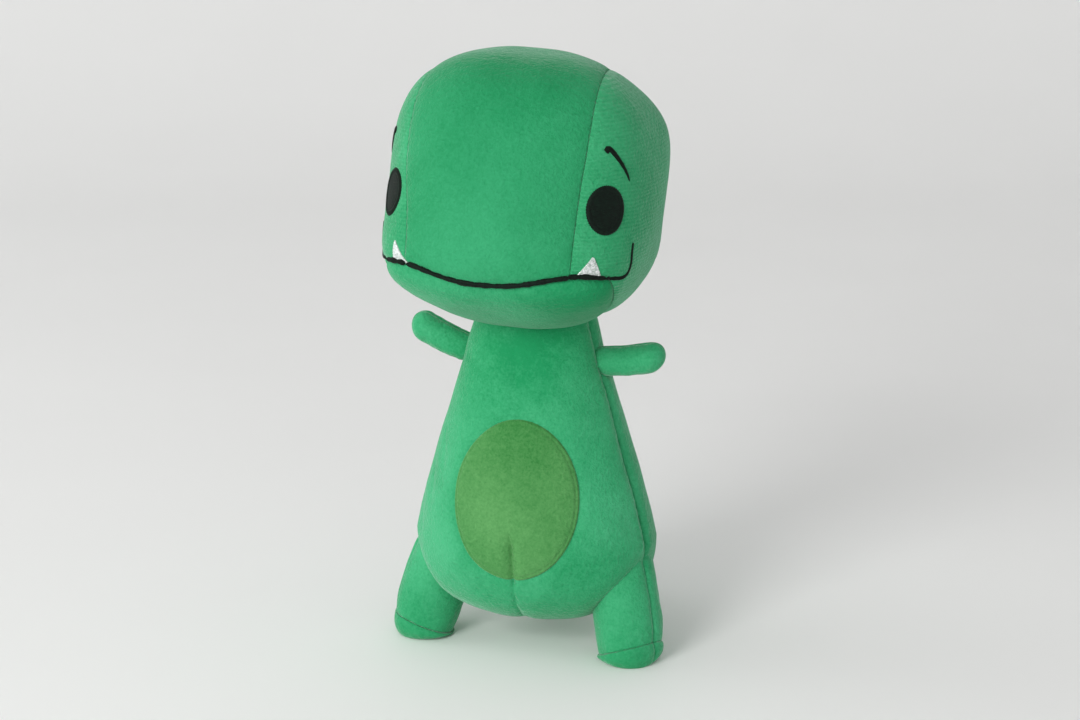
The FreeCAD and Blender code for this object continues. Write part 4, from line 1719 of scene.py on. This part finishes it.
@dataclass
class Torso:
    """Front and back panels, belly patch, filling, pellet pouch and neck plug."""

    finishes: Finishes
    limbs: list[tuple[LimbForm, float]]
    side_seam_y: float = -6.5
    patch_x: float = 1.2
    patch_z: float = 67.4
    patch_half_width: float = 25.7
    patch_half_height: float = 32.2
    dart_start: float = 0.55
    dart_depth: float = 3.0
    wall: float = 0.9
    form: TorsoForm = field(init=False)

    def __post_init__(self) -> None:
        """Set out the form and its creases."""
        self.form = TorsoForm()
        self.form.creases = self.seams() + self.folds()

    def seam_bearing(self, side: Side) -> float:
        """Bearing of a side seam."""
        tilt = self.side_seam_y / self.form.half_width
        return tilt if side is Side.LEFT else math.pi - tilt

    def seams(self) -> list[Crease]:
        """Side seams, back seam, front dart and the rings where limbs are sewn on."""
        run = np.linspace(0, 1, 240)
        creases = []
        for side in Side:
            line = self.form.at(np.full_like(run, self.seam_bearing(side)), run)
            creases.append(Crease(line, 2.6, 0.65, pucker=0.15, pitch=4.2))
        creases.append(Crease(self.form.at(np.full_like(run, math.pi / 2), run), 0.9, 0.9, pucker=0.08))
        creases.append(self.dart())
        creases.append(Crease(self.patch_edge(), 0.9, 0.5, pucker=0.05, pitch=2.6))
        for limb, depth in self.limbs:
            creases.append(SewnRing(limb.axis(np.linspace(0, 1, 2)), depth, 1.1, limb=limb))
        return creases

    def dart(self) -> Crease:
        """Dart from inside the patch to the bottom: bent at its start, and shallower below the patch."""
        run = np.linspace(self.dart_start, 1, 200)
        line = self.form.at(np.full_like(run, -math.pi / 2), run)
        line[:, 0] += 1.8 - 3.0 * np.exp(-(run - self.dart_start) / 0.045)
        fade = smooth((run - self.dart_start) / 0.06) * (1 - 0.6 * smooth((run - 0.65) / 0.06))
        return Crease(line, self.dart_depth, 0.65, fade=fade, pucker=0.12, pitch=3.4)

    def folds(self) -> list[Crease]:
        """Shallow pulls in the cloth, deepest in the middle of each."""
        creases = []
        share = np.linspace(0, 1, 40)
        for pull in PULLS:
            line = self.form.at(pull.start[0] + (pull.end[0] - pull.start[0]) * share,
                                pull.start[1] + (pull.end[1] - pull.start[1]) * share)
            creases.append(Crease(line, pull.depth, pull.width, fade=np.sin(share * math.pi)))
        return creases

    def panel(self, start: float, end: float, columns: int) -> Sheet:
        """Grid of a panel between two bearings, from the neck's end to the bottom pole."""
        bearing = np.linspace(start, end, columns)[None, :]
        run = np.concatenate([np.linspace(0, 0.62, 130), np.linspace(0.62, 0.995, 81)[1:]])[:, None]
        points = self.form.at(bearing + 0 * run, run + 0 * bearing)
        return Sheet(self.form.dressed(points))

    def patch_points(self, turn: Array, share: Array) -> Array:
        """Points of the belly patch on the form: an egg that leans a little.

        Args:
            turn: Angle round the egg.
            share: 0 in its middle and 1 at its edge.

        Returns:
            Points on the form.
        """
        tilt = math.radians(-6)
        east = self.patch_half_width * share * np.cos(turn) * (1 - 0.06 * np.sin(turn))
        north = self.patch_half_height * share * np.sin(turn)
        x = self.patch_x + east * math.cos(tilt) - north * math.sin(tilt) * 0.8
        return self.form.front(x, self.patch_z + east * math.sin(tilt) + north * math.cos(tilt))

    def patch_edge(self) -> Array:
        """Line along which the belly patch is sewn down."""
        return self.patch_points(np.linspace(0, 2 * math.pi, 400), np.ones(400))

    def patch(self) -> Sheet:
        """Grid of the belly patch: an oval laid on the front, its edge stitched down."""
        share = (np.linspace(0, 1, 90)[1:] ** 0.85)[:, None]
        turn = np.linspace(0, 2 * math.pi, 281)[None, :-1]
        edge = np.clip((1 - share) / 0.035, 0, 1) ** 0.6
        stitch = 0.06 * np.sin(turn * 110) * np.exp(-((share - 0.965) / 0.02) ** 2)
        sunk = 0.35 * np.exp(-((share - 0.945) / 0.022) ** 2)
        lift = 1.05 * edge - 0.25 - sunk + stitch
        points = self.form.dressed(self.patch_points(turn, share), lift)
        middle = self.form.front(np.array([self.patch_x]), np.array([self.patch_z]))
        return Sheet(points, closed=True, pole=self.form.dressed(middle, 0.8)[0])

    def filling(self) -> Sheet:
        """The torso's filling: the form drawn in and made lumpy."""
        bearing = np.linspace(0, 2 * math.pi, 97)[None, :-1]
        run = np.linspace(0.12, 0.985, 70)[:, None]
        points = self.form.at(bearing + 0 * run, run + 0 * bearing, grow=-5.5)
        shift = lumps(points, 15, 101)[..., None] * 0.8
        points = points + self.form.normals(points) * np.array([1, 1, 0]) * shift
        top = np.array([0, 0, points[0, :, 2].mean() + 2])
        low = np.array([0, 0, points[-1, :, 2].mean() - 0.5])
        return Sheet(points, closed=True, pole=top, end_pole=low)

    def pillow(self, node: str, inset: float, seed: int) -> tuple[Sheet, Array]:
        """Soft lump that fills a node's box: a rounded form with a waist seam.

        Args:
            node: Name of the node.
            inset: How far it stays inside the box.
            seed: Seed of its unevenness.

        Returns:
            The grid and its middle.
        """
        low, high = node_box(node)
        middle = (low + high) / 2
        half = (high - low) / 2 - inset
        polar = np.linspace(0, math.pi, 42)[1:-1, None]
        turn = np.linspace(0, 2 * math.pi, 61)[None, :-1]
        ways = np.stack([np.sin(polar) * np.cos(turn), np.sin(polar) * np.sin(turn),
                         np.cos(polar) + 0 * turn], -1)
        seam = 1 - 0.05 * np.exp(-np.abs(np.cos(polar)) / 0.05)
        size = (seam * (1 + 0 * turn) * (1 + 0.03 * lumps(ways * half, 9, seed)))[..., None]
        points = middle + ways * half * size
        sheet = Sheet(points, closed=True, pole=middle + np.array([0, 0, half[2]]),
                      end_pole=middle - np.array([0, 0, half[2]]))
        return sheet, middle

    def build(self) -> None:
        """Make every piece of the torso and the neck."""
        heart = np.array([0.0, 0.0, 70.0])
        left = self.seam_bearing(Side.LEFT)
        right = self.seam_bearing(Side.RIGHT)
        back = math.pi / 2
        panels = (("torso_front_panel", right, left + 2 * math.pi, 230),
                  ("torso_back_left_panel", left, back, 100),
                  ("torso_back_right_panel", back, right, 100))
        for name, start, end, columns in panels:
            piece = Piece(name, "torso", (name,), "pile_green", 0.85, self.wall)
            panel = make_object(piece, [self.panel(start, end, columns)], heart, self.finishes.pile)
            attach(panel, "torso")
        patch = Piece("belly_patch", "torso", ("belly_patch",), "pile_olive")
        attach(make_object(patch, [self.patch()], heart, self.finishes.patch), "torso")
        filling = Piece("torso_stuffing", "torso", ("torso_stuffing",), "filling", 0.85)
        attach(make_object(filling, [self.filling()], heart, self.finishes.filling), "torso")
        sheet, middle = self.pillow("pellet_pouch", 1.0, 111)
        pouch = Piece("pellet_pouch", "torso", ("pellet_pouch",), "pouch_cloth", 0.6)
        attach(make_object(pouch, [sheet], middle, self.finishes.pouch), "torso")
        sheet, middle = self.pillow("neck_plug", 2.4, 112)
        plug = Piece("neck_plug", "neck", ("neck_plug",), "filling", 0.95)
        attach(make_object(plug, [sheet], middle, self.finishes.filling), "neck")


# ---------------------------------------------------------------- studio


@dataclass
class Studio:
    """Pale sweep, a low soft light in front, a weaker one on the left, and the camera."""

    aim: Array = field(default_factory=lambda: np.array([0.0, -4.0, 125.0]))
    azimuth: float = 18.0
    elevation: float = 14.5
    distance: float = 1000.0
    view_width: float = 432.0
    aim_right: float = 3.0
    aim_down: float = 6.8
    sensor: float = 36.0

    def place(self, azimuth: float, elevation: float, distance: float) -> Array:
        """Point at an azimuth, an elevation and a distance from the aim, in metres."""
        turn, rise = math.radians(azimuth), math.radians(elevation)
        way = np.array([math.sin(turn) * math.cos(rise), -math.cos(turn) * math.cos(rise), math.sin(rise)])
        return (self.aim + way * distance) * MM

    def face(self, obj: bpy.types.Object, target: Array) -> None:
        """Turn an object's -Z towards a point in metres."""
        way = Vector(target) - obj.location
        obj.rotation_euler = way.to_track_quat("-Z", "Y").to_euler()

    def camera(self) -> None:
        """Camera whose view is view_width wide at the aim."""
        data = bpy.data.cameras.new("camera")
        data.sensor_width = self.sensor
        data.lens = self.sensor * self.distance / self.view_width
        data.clip_end = 50
        camera = bpy.data.objects.new("camera", data)
        camera.location = self.place(self.azimuth, self.elevation, self.distance)
        bpy.context.scene.collection.objects.link(camera)
        turn, rise = math.radians(self.azimuth), math.radians(self.elevation)
        right = np.array([math.cos(turn), math.sin(turn), 0.0])
        up = np.array([-math.sin(turn) * math.sin(rise), math.cos(turn) * math.sin(rise), math.cos(rise)])
        self.face(camera, (self.aim + right * self.aim_right - up * self.aim_down) * MM)
        bpy.context.scene.camera = camera

    def light(self, name: str, azimuth: float, elevation: float, distance: float,
              size: float, power: float, colour: tuple[float, float, float]) -> None:
        """Square area light that looks at the toy."""
        data = bpy.data.lights.new(name, "AREA")
        data.size = size
        data.energy = power
        data.color = colour
        lamp = bpy.data.objects.new(name, data)
        lamp.location = self.place(azimuth, elevation, distance)
        bpy.context.scene.collection.objects.link(lamp)
        self.face(lamp, self.aim * MM)

    def world(self) -> None:
        """Pale surroundings that are brightest at the horizon and on the viewer's left."""
        world = bpy.data.worlds.new("studio")
        sheet = NodeSheet(world)
        way = sheet.value("ShaderNodeTexCoord", {}, {}, "Generated")
        split = sheet.node("ShaderNodeSeparateXYZ", {}, {"Vector": way})
        east, north, up = (Value(sheet, output) for output in split.outputs)
        turn = math.radians(self.azimuth)
        right = east * math.cos(turn) + north * math.sin(turn)
        strength = (1.17 - up.clamped() * 0.84) * (1.0 - right * 0.28)
        glow = sheet.value("ShaderNodeBackground", {}, {"Color": (1.0, 1.0, 1.0, 1.0), "Strength": strength})
        sheet.node("ShaderNodeOutputWorld", {}, {"Surface": glow})
        bpy.context.scene.world = world

    def sweep(self) -> None:
        """Floor that curves up into a wall behind the toy."""
        profile_turn = np.linspace(0, math.pi / 2, 24)
        bend_radius = 900.0
        start = 900.0
        floor = np.stack([np.linspace(-2500, start, 12), np.zeros(12)], -1)
        curve = np.stack([start + bend_radius * np.sin(profile_turn),
                          bend_radius * (1 - np.cos(profile_turn))], -1)[1:]
        wall = np.array([[start + bend_radius, bend_radius + 1500.0]])
        profile = np.concatenate([floor, curve, wall])
        across = np.linspace(-3500, 3500, 8)
        turn = math.radians(self.azimuth)
        y = profile[:, 0][:, None] + 0 * across
        x = across[None, :] + 0 * y
        points = np.stack([x * math.cos(turn) - y * math.sin(turn), x * math.sin(turn) + y * math.cos(turn),
                           profile[:, 1][:, None] + 0 * across], -1)
        sheet = Sheet(points)
        mesh = bpy.data.meshes.new("studio_sweep")
        faces = [face[::-1] for face in sheet.faces()]
        mesh.from_pydata((sheet.vertices() * MM).tolist(), [], faces)
        mesh.polygons.foreach_set("use_smooth", np.ones(len(mesh.polygons), bool))
        obj = bpy.data.objects.new("studio_sweep", mesh)
        bpy.context.scene.collection.objects.link(obj)
        card = NodeSheet.named("studio_card")
        fleck = card.noise(6.0, detail=2.0)
        colour = card.mix(fleck, shade(236, 236, 235), shade(240, 240, 239))
        obj.data.materials.append(card.finish({"Base Color": colour, "Roughness": 0.7}))

    def build(self) -> None:
        """Make the sweep, the lights, the world and the camera."""
        bpy.context.scene.view_settings.view_transform = "Standard"
        self.sweep()
        self.world()
        self.light("key", -17, 24, 1700, 0.7, 17.0, (1.0, 1.0, 0.99))
        self.light("rim", -85, 20, 1700, 1.0, 4.0, (0.98, 1.0, 1.0))
        self.camera()


# ---------------------------------------------------------------- assembly


def main() -> None:
    """Load the frame, dress the dinosaur and set up the studio."""
    logging.basicConfig(level=logging.INFO, format="%(message)s")
    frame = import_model()
    finishes = Finishes()
    arms = [Arm(side, joint_point(frame, f"arm_{side.word}_raise"), finishes) for side in Side]
    legs = [Leg(side, joint_point(frame, f"leg_{side.word}_swing"), finishes) for side in Side]
    tail = Tail(joint_point(frame, "tail_lift"), finishes)
    limbs = [(arm.form, 0.9) for arm in arms] + [(leg.form, 1.5) for leg in legs] + [(tail.form, 1.4)]
    Torso(finishes, limbs).build()
    Head(finishes).build()
    for limb in (*arms, *legs, tail):
        limb.build()
    Studio().build()


if __name__ == "__main__":
    main()
